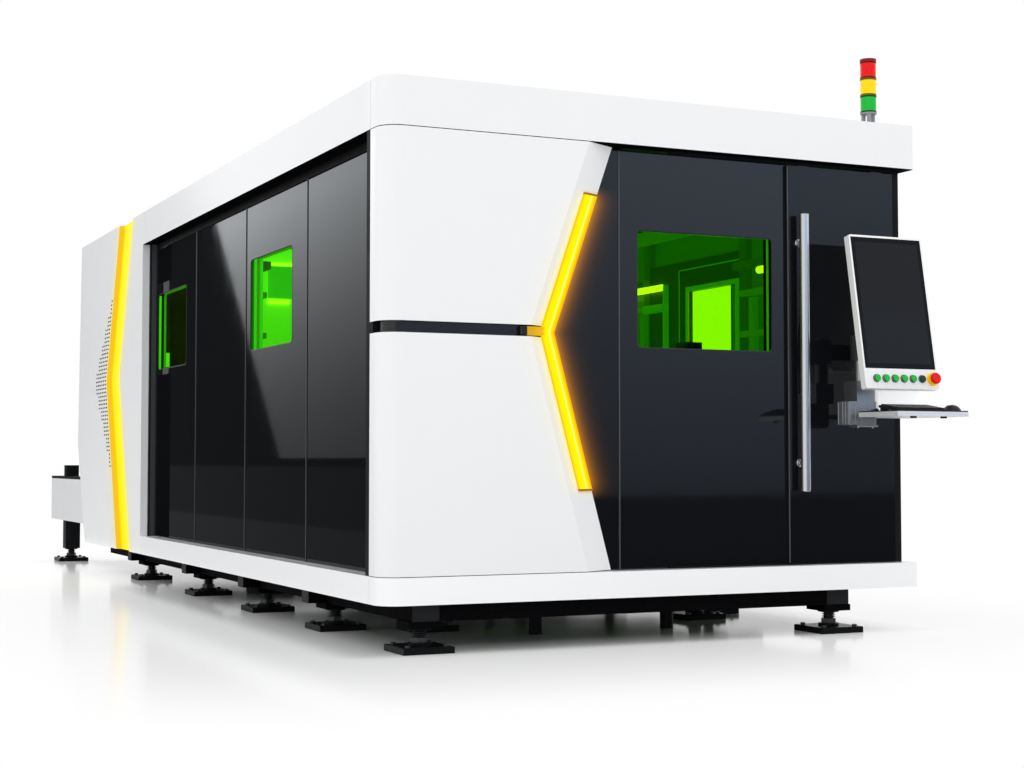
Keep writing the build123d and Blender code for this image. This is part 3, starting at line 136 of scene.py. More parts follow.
class CutterFittings(bpy.types.PropertyGroup):
    """Sizes of the small fittings."""

    gasket_lap: length("Gasket lap", 0.0035, "How far a window gasket covers the panel")
    gasket_rise: length("Gasket rise", 0.0008, "Gasket above the panel's face")
    frame_width: length("Inner frame width", 0.024, "Width of the frames behind the windows")
    frame_depth: length("Inner frame depth", 0.010, "Thickness of the frames behind the windows")
    seam_width: length("Seam trim width", 0.006, "Width of the trims over the panel seams")
    seam_rise: length("Seam trim rise", 0.0035, "Trims above the panels")
    thread_pitch: length("Thread pitch", 0.0073, "Pitch of the levelling studs")
    thread_depth: length("Thread depth", 0.0100, "Height of the thread's crest")
    bezel_width: length("Button bezel", 0.0022, "Width of the rings round the buttons")
    core_width: length("Light core", 0.012, "Width of the pale line on the front light strip")
    tube_radius: length("Chamber tube", 0.018, "Radius of the lamp tubes in the chamber")
    fin_width: length("Post fin", 0.004, "Width of the fins on the console's swivel block")


class CutterStage(bpy.types.PropertyGroup):
    """Camera and light of the studio."""

    lens: number("Lens", 60.13, "Focal length on a sensor 36 mm wide")
    place: FloatVectorProperty(name="Camera place", description="Where the camera stands", subtype="XYZ",
                               unit="LENGTH", size=3, default=(-3.650, -9.927, 0.769))
    heading: FloatProperty(name="Heading", description="Turn of the camera to the right", subtype="ANGLE",
                           default=math.radians(24.904))
    pitch: FloatProperty(name="Pitch", description="Tilt of the camera upwards", subtype="ANGLE",
                         default=math.radians(2.57))
    ambient: number("Ambient", 0.97, "Strength of the studio's even light")
    key: number("Key light", 68.0, "Power of the large lamp in front, in watts")
    side: number("Side light", 115.0, "Power of the large lamp at the left, in watts")
    right: number("Right light", 42.0, "Power of the lamp at the right front, in watts")
    fill: number("Top light", 12.0, "Power of the lamp above, in watts")


# Surfaces
def cells(shape, round_n, round_m):
    """Corner numbers of a grid's quads; a closed direction joins its last row to its first."""
    index = np.arange(shape[0] * shape[1]).reshape(shape)
    if round_n:
        index = np.concatenate([index, index[:1]], axis=0)
    if round_m:
        index = np.concatenate([index, index[:, :1]], axis=1)
    corners = [index[:-1, :-1], index[1:, :-1], index[1:, 1:], index[:-1, 1:]]
    return np.stack(corners, axis=-1).reshape(-1, 4)


def lay(name, patches, finish, body, sharp=35):
    """One mesh from several grids of points.

    A patch is (points[n, m, 3], closed along n, closed along m): each cell of the grid becomes a
    quad, doubled points at poles and seams are merged, and faces are turned outwards.
    """
    points, quads, start = [], [], 0
    for grid, round_n, round_m in patches:
        grid = np.asarray(grid, dtype=float)
        quads.append(cells(grid.shape[:2], round_n, round_m) + start)
        points.append(grid.reshape(-1, 3))
        start += len(points[-1])
    mesh = bpy.data.meshes.new(name)
    mesh.from_pydata(np.concatenate(points).tolist(), [], np.concatenate(quads).tolist())
    work = bmesh.new()
    work.from_mesh(mesh)
    bmesh.ops.remove_doubles(work, verts=work.verts, dist=1e-6)
    bmesh.ops.dissolve_degenerate(work, edges=work.edges, dist=1e-7)
    bmesh.ops.recalc_face_normals(work, faces=work.faces)
    work.to_mesh(mesh)
    work.free()
    mesh.polygons.foreach_set("use_smooth", np.ones(len(mesh.polygons), dtype=bool))
    mesh.set_sharp_from_angle(angle=math.radians(sharp))
    mesh.materials.append(finish.material)
    piece = bpy.data.objects.new(name, mesh)
    bpy.context.scene.collection.objects.link(piece)
    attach(piece, body)


def rounded_loop(width, height, radius, steps=7):
    """Points and outward directions round a rectangle whose corners are quarter circles."""
    corner = np.repeat(np.arange(4), steps)
    angle = (corner + np.tile(np.linspace(0, 1, steps), 4)) * math.pi / 2
    out = np.stack([np.cos(angle), np.sin(angle)], axis=-1)
    right = (corner == 0) | (corner == 3)
    side = np.stack([np.where(right, 1, -1), np.where(corner < 2, 1, -1)], axis=-1)
    return side * (np.array([width, height]) / 2 - radius) + radius * out, out


def ring(plane, loop, out, profile):
    """A profile of (outwards, along the plane's normal) carried round a flat loop."""
    origin, across, up, normal = (np.asarray(row, dtype=float) for row in plane)
    profile = np.asarray(profile, dtype=float)
    flat = loop[:, None, :] + out[:, None, :] * profile[None, :, :1]
    points = origin + flat[..., :1] * across + flat[..., 1:] * up + profile[None, :, 1:] * normal
    return (points, True, False)


def lathe(centre, axis, profile, steps=24):
    """A profile of (radius, height) turned about an axis through centre."""
    axis = np.asarray(axis, dtype=float) / np.linalg.norm(axis)
    side = np.cross(axis, (0.0, 0.0, 1.0) if abs(axis[2]) < 0.9 else (1.0, 0.0, 0.0))
    side /= np.linalg.norm(side)
    angle = np.linspace(0, 2 * math.pi, steps, endpoint=False)
    spoke = np.cos(angle)[:, None] * side + np.sin(angle)[:, None] * np.cross(axis, side)
    profile = np.asarray(profile, dtype=float)
    points = np.asarray(centre) + spoke[:, None, :] * profile[None, :, :1] + axis * profile[None, :, 1:]
    return (points, True, False)


def square_loop(width, height):
    """The four corners of a rectangle; the directions are diagonal, so that a profile is mitred there."""
    out = np.array([(1.0, 1.0), (-1.0, 1.0), (-1.0, -1.0), (1.0, -1.0)])
    return out * np.array([width, height]) / 2, out


def slab(low, high, bevel=0.0015):
    """A block with bevelled edges: a rectangle with cut corners carried upwards, drawn in at both ends."""
    low, high = np.minimum(low, high), np.maximum(low, high)
    half, middle = (high - low) / 2, (high + low) / 2
    bevel = min(bevel, 0.3 * float(half.min()))
    inset = np.array([0.0, bevel, 0.0, 0.0, bevel, 0.0])
    p, q = (half[axis] - inset[:, None] for axis in (0, 1))
    x = np.concatenate([p, p, p - bevel, bevel - p, -p, -p, bevel - p, p - bevel], axis=1)
    y = np.concatenate([bevel - q, q - bevel, q, q, q - bevel, bevel - q, -q, -q], axis=1)
    level = np.array([-half[2], -half[2], bevel - half[2], half[2] - bevel, half[2], half[2]])
    z = np.repeat(level[:, None], 8, axis=1)
    closed = np.array([0.0, 1.0, 1.0, 1.0, 1.0, 0.0])[:, None]
    return (np.stack([x * closed, y * closed, z], axis=-1) + middle, False, True)


def both_sides(low, high, bevel=0.0015):
    """The same block at the left and, mirrored, at the right."""
    low, high = np.array(low, dtype=float), np.array(high, dtype=float)
    flip = np.array([-1.0, 1.0, 1.0])
    return [slab(low, high, bevel), slab(low * flip, high * flip, bevel)]


def bar(ends, section):
    """A closed section carried between two ends; its first and last loops shrink to a point."""
    loops = np.asarray(ends, dtype=float)[:, None, :] + np.asarray(section, dtype=float)[None, :, :]
    first = np.repeat(loops[:1].mean(axis=1, keepdims=True), loops.shape[1], axis=1)
    last = np.repeat(loops[-1:].mean(axis=1, keepdims=True), loops.shape[1], axis=1)
    return (np.concatenate([first, loops, last]), False, True)


# Finishes
def math_node(operation, swap=False):
    """A method that adds one math node to the tree of a value."""
    def method(self, *others):
        values = (self, *others)
        return self.recipe.sum(operation, *(values[::-1] if swap else values))
    return method


class Value:
    """A number in a material's tree; arithmetic with it adds the nodes."""

    __add__ = math_node("ADD")
    __sub__ = math_node("SUBTRACT")
    __rsub__ = math_node("SUBTRACT", True)
    __mul__ = math_node("MULTIPLY")
    __truediv__ = math_node("DIVIDE")
    __pow__ = math_node("POWER")
    __rpow__ = math_node("POWER", True)
    __gt__ = math_node("GREATER_THAN")
    __lt__ = math_node("LESS_THAN")
    __abs__ = math_node("ABSOLUTE")
    at_least = math_node("MAXIMUM")
    at_most = math_node("MINIMUM")

    def __init__(self, recipe, socket):
        self.recipe = recipe
        self.socket = socket

    def within(self, low, high):
        """1 where the value lies between two limits, else 0."""
        return (self > low) * (self < high)

    def span(self, low, high, start=0.0, end=1.0, smooth=False):
        """The value carried from start and end to low and high, and held beyond them."""
        kind = "SMOOTHSTEP" if smooth else "LINEAR"
        node = self.recipe.add("ShaderNodeMapRange", interpolation_type=kind)
        return self.recipe.fill(node, self, start, end, low, high)


class Recipe:
    """A material under construction: its tree, its shader and its Object coordinates."""

    def __init__(self, name):
        self.material = bpy.data.materials.new(name)
        self.material.use_nodes = True
        self.tree = self.material.node_tree
        self.shader = self.tree.nodes["Principled BSDF"]
        self.place = self.add("ShaderNodeTexCoord").outputs["Object"]

    def add(self, kind, **settings):
        node = self.tree.nodes.new(kind)
        for key, value in settings.items():
            setattr(node, key, value)
        return node

    def wire(self, source, target):
        """Links a value or a socket to a socket, or sets a plain number or colour on it."""
        source = source.socket if isinstance(source, Value) else source
        if isinstance(source, bpy.types.NodeSocket):
            self.tree.links.new(source, target)
        else:
            target.default_value = (*source, 1.0) if target.type == "RGBA" else source

    def fill(self, node, *values):
        """Wires values to a node's first sockets and gives what comes out of it."""
        for source, target in zip(values, node.inputs):
            self.wire(source, target)
        return Value(self, node.outputs[0])

    def set(self, **values):
        names = {"spec": "Specular IOR Level", "rough": "Roughness", "metal": "Metallic", "ior": "IOR",
                 "coat": "Coat Weight", "coat_rough": "Coat Roughness", "glow": "Emission Strength",
                 "clear": "Transmission Weight"}
        for key, value in values.items():
            self.wire(value, self.shader.inputs[names[key]])

    def noise(self, scale, detail=2.0, stretch=None):
        vector = self.place
        if stretch is not None:
            turn = self.add("ShaderNodeMapping")
            turn.inputs["Scale"].default_value = stretch
            vector = self.fill(turn, vector)
        node = self.add("ShaderNodeTexNoise")
        for source, key in ((vector, "Vector"), (scale, "Scale"), (detail, "Detail")):
            self.wire(source, node.inputs[key])
        return Value(self, node.outputs[0])

    def sum(self, operation, *values):
        return self.fill(self.add("ShaderNodeMath", operation=operation), *values)

    def blend(self, share, first, second):
        node = self.add("ShaderNodeMix", data_type="RGBA")
        for source, place in ((share, 0), (first, 6), (second, 7)):
            self.wire(source, node.inputs[place])
        return node.outputs[2]

    def ramp(self, value, *stops):
        node = self.add("ShaderNodeValToRGB")
        band = node.color_ramp.elements
        for element, (place, tone) in zip((band[0], band[1]), (stops[0], stops[-1])):
            element.position = place
            element.color = (*tone, 1.0)
        for place, tone in stops[1:-1]:
            band.new(place).color = (*tone, 1.0)
        return self.fill(node, value)

    def mix(self, share, first, second):
        """Shows a share of a second shader in place of the first one."""
        node = self.add("ShaderNodeMixShader")
        surface = self.fill(node, share, first.outputs[0], second.outputs[0])
        self.wire(surface, self.tree.nodes["Material Output"].inputs["Surface"])

    def split(self, vector):
        node = self.add("ShaderNodeSeparateXYZ")
        self.fill(node, vector)
        return [Value(self, row) for row in node.outputs]

    def axes(self):
        return self.split(self.place)

    def panel_axes(self):
        """Places along, out of and up the leaning screen panel, from its lower left corner."""
        lean = (math.cos(PANEL_LEAN), math.sin(PANEL_LEAN))
        x, y, z = SCREEN_CORNER
        turn = self.add("ShaderNodeMapping")
        turn.inputs["Rotation"].default_value = (PANEL_LEAN, 0, 0)
        turn.inputs["Location"].default_value = (-x, z * lean[1] - y * lean[0], -y * lean[1] - z * lean[0])
        along, depth, up = self.split(self.fill(turn, self.place))
        return along, depth * -1.0, up

    def tint(self, base):
        self.wire(base, self.shader.inputs["Base Color"])

    def glow(self, base, strength):
        self.wire(base, self.shader.inputs["Emission Color"])
        self.set(glow=strength)

    def bump(self, height, strength, distance):
        node = self.add("ShaderNodeBump")
        for source, key in ((strength, "Strength"), (distance, "Distance"), (height, "Height")):
            self.wire(source, node.inputs[key])
        self.wire(node.outputs[0], self.shader.inputs["Normal"])


def shade(value, factor):
    """A colour made lighter or darker by a factor."""
    return tuple(min(1.0, channel * factor) for channel in value)


def paint(name, base, rough=0.25, spec=0.5, vary=0.03, peel=0.06, peel_scale=420.0, dust=0.04):
    """Sprayed paint: faint cloudy tone, orange peel and uneven gloss."""
    recipe = Recipe(name)
    recipe.tint(recipe.blend(recipe.noise(1.7, 3.0), shade(base, 1 - vary), shade(base, 1 + vary)))
    recipe.set(rough=recipe.noise(9.0, 4.0).span(rough - dust, rough + dust, 0.3, 0.7), spec=spec)
    recipe.bump(recipe.noise(peel_scale, 1.0), peel, 0.0004)
    return recipe


def white_paint(name, base, spec=0.06):
    """Even powder coat with a soft gloss."""
    return paint(name, base, 0.12, spec, 0.008, 0.03)


def charcoal_paint(name, base, spec):
    """Smooth dark gloss of the front panels."""
    return paint(name, base, 0.04, spec, 0.10, 0.010, 260.0, 0.012)


def brushed(name, base, stretch, rough=0.28, contrast=0.10):
    """Metal with fine scratches along one direction."""
    recipe = Recipe(name)
    grain = recipe.noise(1.0, 3.0, stretch)
    recipe.tint(recipe.blend(grain, shade(base, 1 - contrast), shade(base, 1 + contrast)))
    recipe.set(metal=1.0, rough=grain.span(rough - 0.08, rough + 0.08))
    recipe.bump(grain, 0.05, 0.0003)
    return recipe


def plastic(name, base, rough=0.45, spec=0.45, grain_scale=900.0, grain=0.12):
    """Moulded plastic with a fine spark-eroded grain."""
    recipe = Recipe(name)
    recipe.tint(recipe.blend(recipe.noise(40.0), shade(base, 0.92), shade(base, 1.08)))
    recipe.set(rough=recipe.noise(60.0).span(rough - 0.05, rough + 0.05), spec=spec)
    recipe.bump(recipe.noise(grain_scale, 1.0), grain, 0.0003)
    return recipe


def spilled(recipe, tones, level):
    """Adds the green light that the laser glass leaves in the chamber."""
    recipe.glow(tones.spill, level)
    return recipe


def dress(finish, *names):
    """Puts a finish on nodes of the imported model."""
    for name in names:
        node = NODES[name]
        if node.material_slots:
            for slot in node.material_slots:
                slot.material = finish.material
        else:
            node.data.materials.append(finish.material)


def bent_line(z, foot, kink, top):
    """Nodes for a line with one kink: straight runs from foot and top, as (height, place), meet there."""
    rise = (top[1] - kink[1]) / (top[0] - kink[0])
    drop = (foot[1] - kink[1]) / (kink[0] - foot[0])
    return (z - kink[0]).at_least(0.0) * rise + (kink[0] - z).at_least(0.0) * drop + kink[1]


def outline_x(z):
    """Nodes for the edge of the white front covers at a height."""
    return bent_line(z, OUTLINE_FOOT, (KINK_Z, OUTLINE_KINK), OUTLINE_TOP)


def groove_y(z):
    """Nodes for the middle of the bent light channels at a height."""
    return bent_line(z, GROOVE_FOOT, GROOVE_KINK, GROOVE_TOP)


def strip_reach(z):
    """Nodes that are 1 along the front light strip and fade past its ends."""
    return z.span(0.0, 1.0, 0.60, 0.70, True) * z.span(1.0, 0.0, 1.83, 1.93, True)


def edge_at(z):
    """The edge of the front covers as numbers, for an array of heights."""
    bend = np.array([OUTLINE_FOOT, (KINK_Z, OUTLINE_KINK), OUTLINE_TOP])
    return np.interp(z, bend[:, 0], bend[:, 1])


class CUTTER_OT_skin(bpy.types.Operator):
    """Paint the bands, covers, panels, roof and frames"""

    bl_idname = "cutter.skin"
    bl_label = "Paint the skin"

    def execute(self, context):
        tones = context.scene.cutter_finishes
        dress(white_paint("gloss_white", tones.white), "table_sides")
        # The lower bands get a paler copy of the white paint: painted light.
        dress(white_paint("low_lit_white", shade(tones.white, 1.09)), "lower_bands")
        dress(self.lit_white(tones), "front_covers")
        dress(self.lit_rear(tones), "rear_covers")
        dress(self.shaded_band_white(tones), "upper_bands")
        dress(paint("roof_white", shade(tones.white, 0.88), 0.35, 0.12), "roof_panels")
        for node, gloss in (("window_panel", 0.5), ("door_leaf", 0.36)):
            dress(charcoal_paint(node + "_charcoal", tones.charcoal, gloss), node)
        dress(self.lit_charcoal(tones), "front_fascia")
        dress(self.shaded_side_charcoal(tones), "side_panels")
        dress(self.frame_black(tones), "enclosure_frame")
        dress(paint("satin_black", tones.black, 0.5, 0.12, 0.15, 0.10), "table_frame", "door_track")
        # The base frame gets a darker copy of the black paint: painted shade.
        dress(paint("shaded_base_black", shade(tones.black, 0.5), 0.7, 0.02, 0.15, 0.10), "base_frame")
        dress(paint("slot_black", tones.black, 0.10, 0.5, 0.1, 0.02), "slot_trim")
        return {"FINISHED"}

    @staticmethod
    def shaded_side_charcoal(tones):
        """Gloss charcoal outside, darker than the front panels' as painted shade; green light lies on the
        inner faces.
        """
        recipe = paint("shaded_side_charcoal", tones.shaded_side_charcoal, 0.035, 0.10, 0.10, 0.008, 260.0, 0.01)
        x, y, _ = recipe.axes()
        inside = (abs(x) < SIDE_FACE - 0.0035) * (y < JAMB_Y)
        recipe.tint(recipe.blend(inside, tones.shaded_side_charcoal, shade(tones.inner, 0.5)))
        return spilled(recipe, tones, inside * 0.075)

    @staticmethod
    def frame_black(tones):
        """Black of the frame: grey at the rear jambs, and lit green on the faces in the chamber."""
        recipe = paint("frame_black", tones.black, 0.5, 0.12, 0.15, 0.10)
        x, y, z = recipe.axes()
        inside = y.within(*CHAMBER_Y) * z.within(*CHAMBER_Z) * (abs(x) < CHAMBER_X)
        jamb = abs(x).within(*JAMB_X) * (y > JAMB_Y)
        base = recipe.blend(inside, tones.black, shade(tones.inner, 0.3))
        recipe.tint(recipe.blend(jamb, base, tones.seam))
        return spilled(recipe, tones, inside * x.span(0.58, 0.04, -1.2, 1.2))

    @staticmethod
    def paint_strip_light(recipe, base, gap, half, reach, strength):
        """Paints a light strip's light on white paint beside it, as a cream tint and a warm glow; the
        painted light halves over a gap of this many metres.
        """
        near = 0.5 ** (gap.at_least(0.0) / half) * reach
        recipe.tint(recipe.blend(near, base, (0.86, 0.81, 0.52)))
        recipe.glow((1.0, 0.74, 0.16), near * strength)
        return recipe

    def lit_white(self, tones):
        """White of the front covers, with the front light strip's light painted on them beside it."""
        recipe = white_paint("lit_white", tones.white)
        x, _, z = recipe.axes()
        gap = outline_x(z) + LED_SHARES[0] * float(FACET[0]) - x
        return self.paint_strip_light(recipe, tones.white, gap, 0.026, strip_reach(z), 0.28)

    def lit_rear(self, tones):
        """White of the rear covers, paler low down as painted light, with the bent light channels' light
        painted beside them.
        """
        recipe = white_paint("lit_rear", tones.white)
        x, y, z = recipe.axes()
        gap = abs(y - groove_y(z)) - GROOVE_HALF
        outside = (gap > 0.0) * (abs(x) > COVER_FACE)
        # Paler towards the floor: painted light.
        base = recipe.blend(z.span(0.0, 1.0, 1.5, 0.3), tones.white, shade(tones.white, 1.11))
        return self.paint_strip_light(recipe, base, gap, 0.040, outside, 0.18)

    @staticmethod
    def shaded_band_white(tones):
        """White of the upper band with painted shade: a little darker along the sides and black on the
        underside.
        """
        recipe = white_paint("shaded_band_white", tones.white, 0.02)
        _, y, z = recipe.axes()
        # Black below the band's foot: painted shade on the underside.
        under = z < BAND_FOOT
        # Darker along the sides: painted shade.
        base = recipe.blend(y.span(0.0, 1.0, -3.58, -3.40), tones.white, shade(tones.white, 0.92))
        recipe.tint(recipe.blend(under, base, shade(tones.black, 0.4)))
        recipe.set(rough=under.span(0.12, 1.0))
        return recipe

    @staticmethod
    def lit_charcoal(tones):
        """Charcoal of the fascia, lit from the strip's side; the light halves every two centimetres."""
        recipe = charcoal_paint("lit_charcoal", tones.charcoal, 0.37)
        x, _, z = recipe.axes()
        away = x - (outline_x(z) + float(FACET[0]))
        fade = 0.5 ** (away.at_least(0.0) * 55.0) * (away > -0.004) * strip_reach(z)
        recipe.glow((1.0, 0.36, 0.0), fade * 0.60)
        return recipe


class CUTTER_OT_inside(bpy.types.Operator):
    """Paint the bed, gantry, pallet and cabinets, and fit out the chamber"""

    bl_idname = "cutter.inside"
    bl_label = "Chamber"

    def execute(self, context):
        tones = context.scene.cutter_finishes
        dress(paint("machine_grey", tones.inner, 0.42, 0.25, 0.08, 0.10), "machine_bed", "gate_guides",
              "gate_panel", "scrap_trough", "gantry_beam", "laser_source", "control_cabinet")
        dress(paint("wall_grey", shade(tones.inner, 0.5), 0.5, 0.2, 0.15, 0.10), "cross_walls")
        dress(paint("pallet_grey", shade(tones.inner, 0.55), 0.5, 0.35, 0.2, 0.2), "pallet_frame")
        slat = brushed("slat_steel", shade(tones.steel, 0.55), (2.0, 40.0, 300.0), 0.5, 0.3)
        dress(slat, "pallet_slats")
        dress(brushed("ground_steel", tones.steel, (300.0, 6.0, 300.0), 0.25), "guide_rails",
              "pallet_rails", "gantry_shoes")
        dress(paint("motor_black", tones.black, 0.4), "gantry_motors")
        dress(brushed("head_alloy", tones.alloy, (60.0, 60.0, 300.0), 0.35), "carriage", "cutting_head")
        grey = spilled(paint("chamber_grey", tones.inner, 0.42, 0.25, 0.08, 0.10), tones, 0.10)
        lean, inner = POST_FACE, POST_FACE - 0.045
        ledges = []
        for y in ((-3.480, -2.480), (-1.400, -0.420)):
            for z in ((1.610, 1.640), (1.400, 1.430)):
                ledges += both_sides((-lean, y[0], z[0]), (-inner, y[1], z[1]))
        lay("chamber_ledges", ledges, grey, "machine")
        posts = [slab((lean - 0.035, y, 0.750), (lean, y + 0.040, 1.600))
                 for y in (-2.600, -1.470, -0.470)]
        lay("chamber_channels", posts, grey, "machine")
        ducts = both_sides((-lean, -3.400, 1.990), (-1.030, 0.400, 2.050), 0.006)
        ducts += [slab((-lean, y - 0.030, 2.100), (lean, y + 0.030, 2.160), 0.004)
                  for y in (-2.900, -1.900, -0.900)]
        lay("ceiling_ribs", ducts, grey, "machine")
        # Near-black sheets on the front of the cross wall at both ends, seen through the far side windows:
        # painted shade.
        liners = both_sides((-1.128, 0.540, 0.900), (-0.868, 0.5495, 2.050))
        black = paint("shade_sheet_black", shade(tones.casing, 0.1), 0.7, 0.05)
        lay("rear_shade_sheets", liners, black, "machine")
        self.lit_wall(tones)
        return {"FINISHED"}

    @staticmethod
    def lit_wall(tones):
        """Sheets on the cross wall and at its left end that glow green, brighter upwards, as painted light
        of the chamber; with the wall's control box and bright bars.
        """
        sheet = plastic("wall_light_glow", (0.5, 0.55, 0.5), 0.6, 0.2)
        # The green glow, brighter upwards, is painted light.
        sheet.glow((0.12, 1.0, 0.30), sheet.axes()[2].span(0.52, 0.70, 1.30, 2.10, True))
        front = WALL_FACE - 0.012
        plates = [slab((-0.780, front, 1.300), (-0.100, WALL_FACE, 2.120), 0.004),
                  slab((-1.203, 0.530, 1.325), (-1.178, 0.5415, 1.785)),
                  slab((-1.160, 0.476, 1.345), (-1.138, 0.4885, 1.431))]
        lay("wall_glow_sheets", plates, sheet, "machine")
        dark = spilled(paint("box_grey", tones.casing, 0.5, 0.2), tones, 0.46)
        boxes = [slab((-0.500, front - 0.060, 1.800), (-0.300, front, 2.000), 0.006),
                 slab((-0.640, front - 0.020, 1.420), (-0.600, front, 2.100), 0.004),
                 slab((-0.245, front - 0.020, 1.420), (-0.215, front, 2.100), 0.004)]
        lay("wall_boxes", boxes, dark, "machine")
        bright = plastic("wall_bars", tones.lamp, 0.5)
        bright.glow(tones.lamp, 1.2)
        bars = [slab((-0.500, front - 0.030, 2.010), (-0.300, front, 2.026)),
                slab((-0.500, front - 0.030, 1.765), (-0.360, front, 1.790))]
        lay("wall_bars", bars, bright, "machine")


class CUTTER_OT_lights(bpy.types.Operator):
    """Light the strips, the chamber tubes and the signal tower"""

    bl_idname = "cutter.lights"
    bl_label = "Light strips, lamps and tower"

    def execute(self, context):
        tones = context.scene.cutter_finishes
        sizes = context.scene.cutter_fittings
        dim = (0.10, 0.06, 0.0)
        front = plastic("amber_front", dim, 0.5, 0.05)
        x, _, z = front.axes()
        across = (x - outline_x(z)) / float(FACET[0])
        glow = front.ramp(across, (0.0, (0.62, 0.32, 0.012)), (0.405, (0.80, 0.45, 0.010)),
                          (0.43, (0.95, 0.52, 0.0)), (0.48, (1.0, 0.84, 0.0)), (0.56, tones.amber),
                          (0.80, (1.0, 0.90, 0.0)), (0.88, (1.0, 0.74, 0.0)), (0.97, (1.0, 0.45, 0.0)))
        front.glow(glow, 1.0)
        dress(front, "front_led")
        side = plastic("amber_side", dim, 0.5, 0.05)
        x, y, z = side.axes()
        share = (y - groove_y(z)).span(0.0, 1.0, -GROOVE_HALF, GROOVE_HALF)
        glow = side.ramp(share, (0.02, (1.0, 0.86, 0.10)), (0.20, (1.0, 0.92, 0.07)),
                         (0.45, (1.0, 0.90, 0.03)), (0.86, (1.0, 0.80, 0.0)),
                         (0.93, (0.95, 0.62, 0.005)), (0.975, (0.86, 0.52, 0.01)))
        lip = (share > 0.965) * (abs(x) > CHANNEL_LIP)
        side.glow(side.blend(lip, glow, tones.amber_edge), 1.0)
        dress(side, "side_leds")
        dress(spilled(paint("lamp_housing", shade(tones.inner, 0.5), 0.5, 0.2), tones, 0.05), "light_bars")
        tube = plastic("chamber_tube", tones.lamp, 0.5)
        tube.glow(tones.lamp, 1.7)
        turn = np.linspace(0, 2 * math.pi, 14, endpoint=False)
        section = sizes.tube_radius * np.stack([np.cos(turn), 0 * turn, np.sin(turn)], axis=-1)
        runs = ((-TUBE_X, -3.470, -2.640), (-TUBE_X, -1.180, -0.430), (TUBE_X, -3.470, -2.640),
                (TUBE_X, -1.665, -0.430))
        patches = [bar([(x, low, TUBE_Z), (x, high, TUBE_Z)], section) for x, low, high in runs]
        lay("chamber_tubes", patches, tube, "machine", 50)
        self.tower(tones)
        return {"FINISHED"}

    @staticmethod
    def tower(tones):
        """Ribbed, faintly lit lenses with dark rims; the top one has a dark cap."""
        for name in ("green", "yellow", "red"):
            node, tone = "tower_" + name, getattr(tones, name)
            low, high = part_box(node)
            lens = plastic(node + "_lens", tone, 0.22, 0.25)
            height = lens.axes()[2]
            rim = abs(height - (low[2] + high[2]) / 2) > (high[2] - low[2]) / 2 - 0.008
            lens.tint(lens.blend(rim, tone, shade(tone, 0.18)))
            lens.glow(tone, rim.span(0.22, 0.0))
            lens.bump(lens.sum("SINE", height * 900.0), 0.35, 0.001)
            dress(lens, node)
        grey = (0.30, 0.31, 0.33)
        base = plastic("tower_grey", grey, 0.4, 0.3)
        base.tint(base.blend(base.axes()[2] > 2.60, grey, shade(tones.red, 0.35)))
        dress(base, "tower_base")


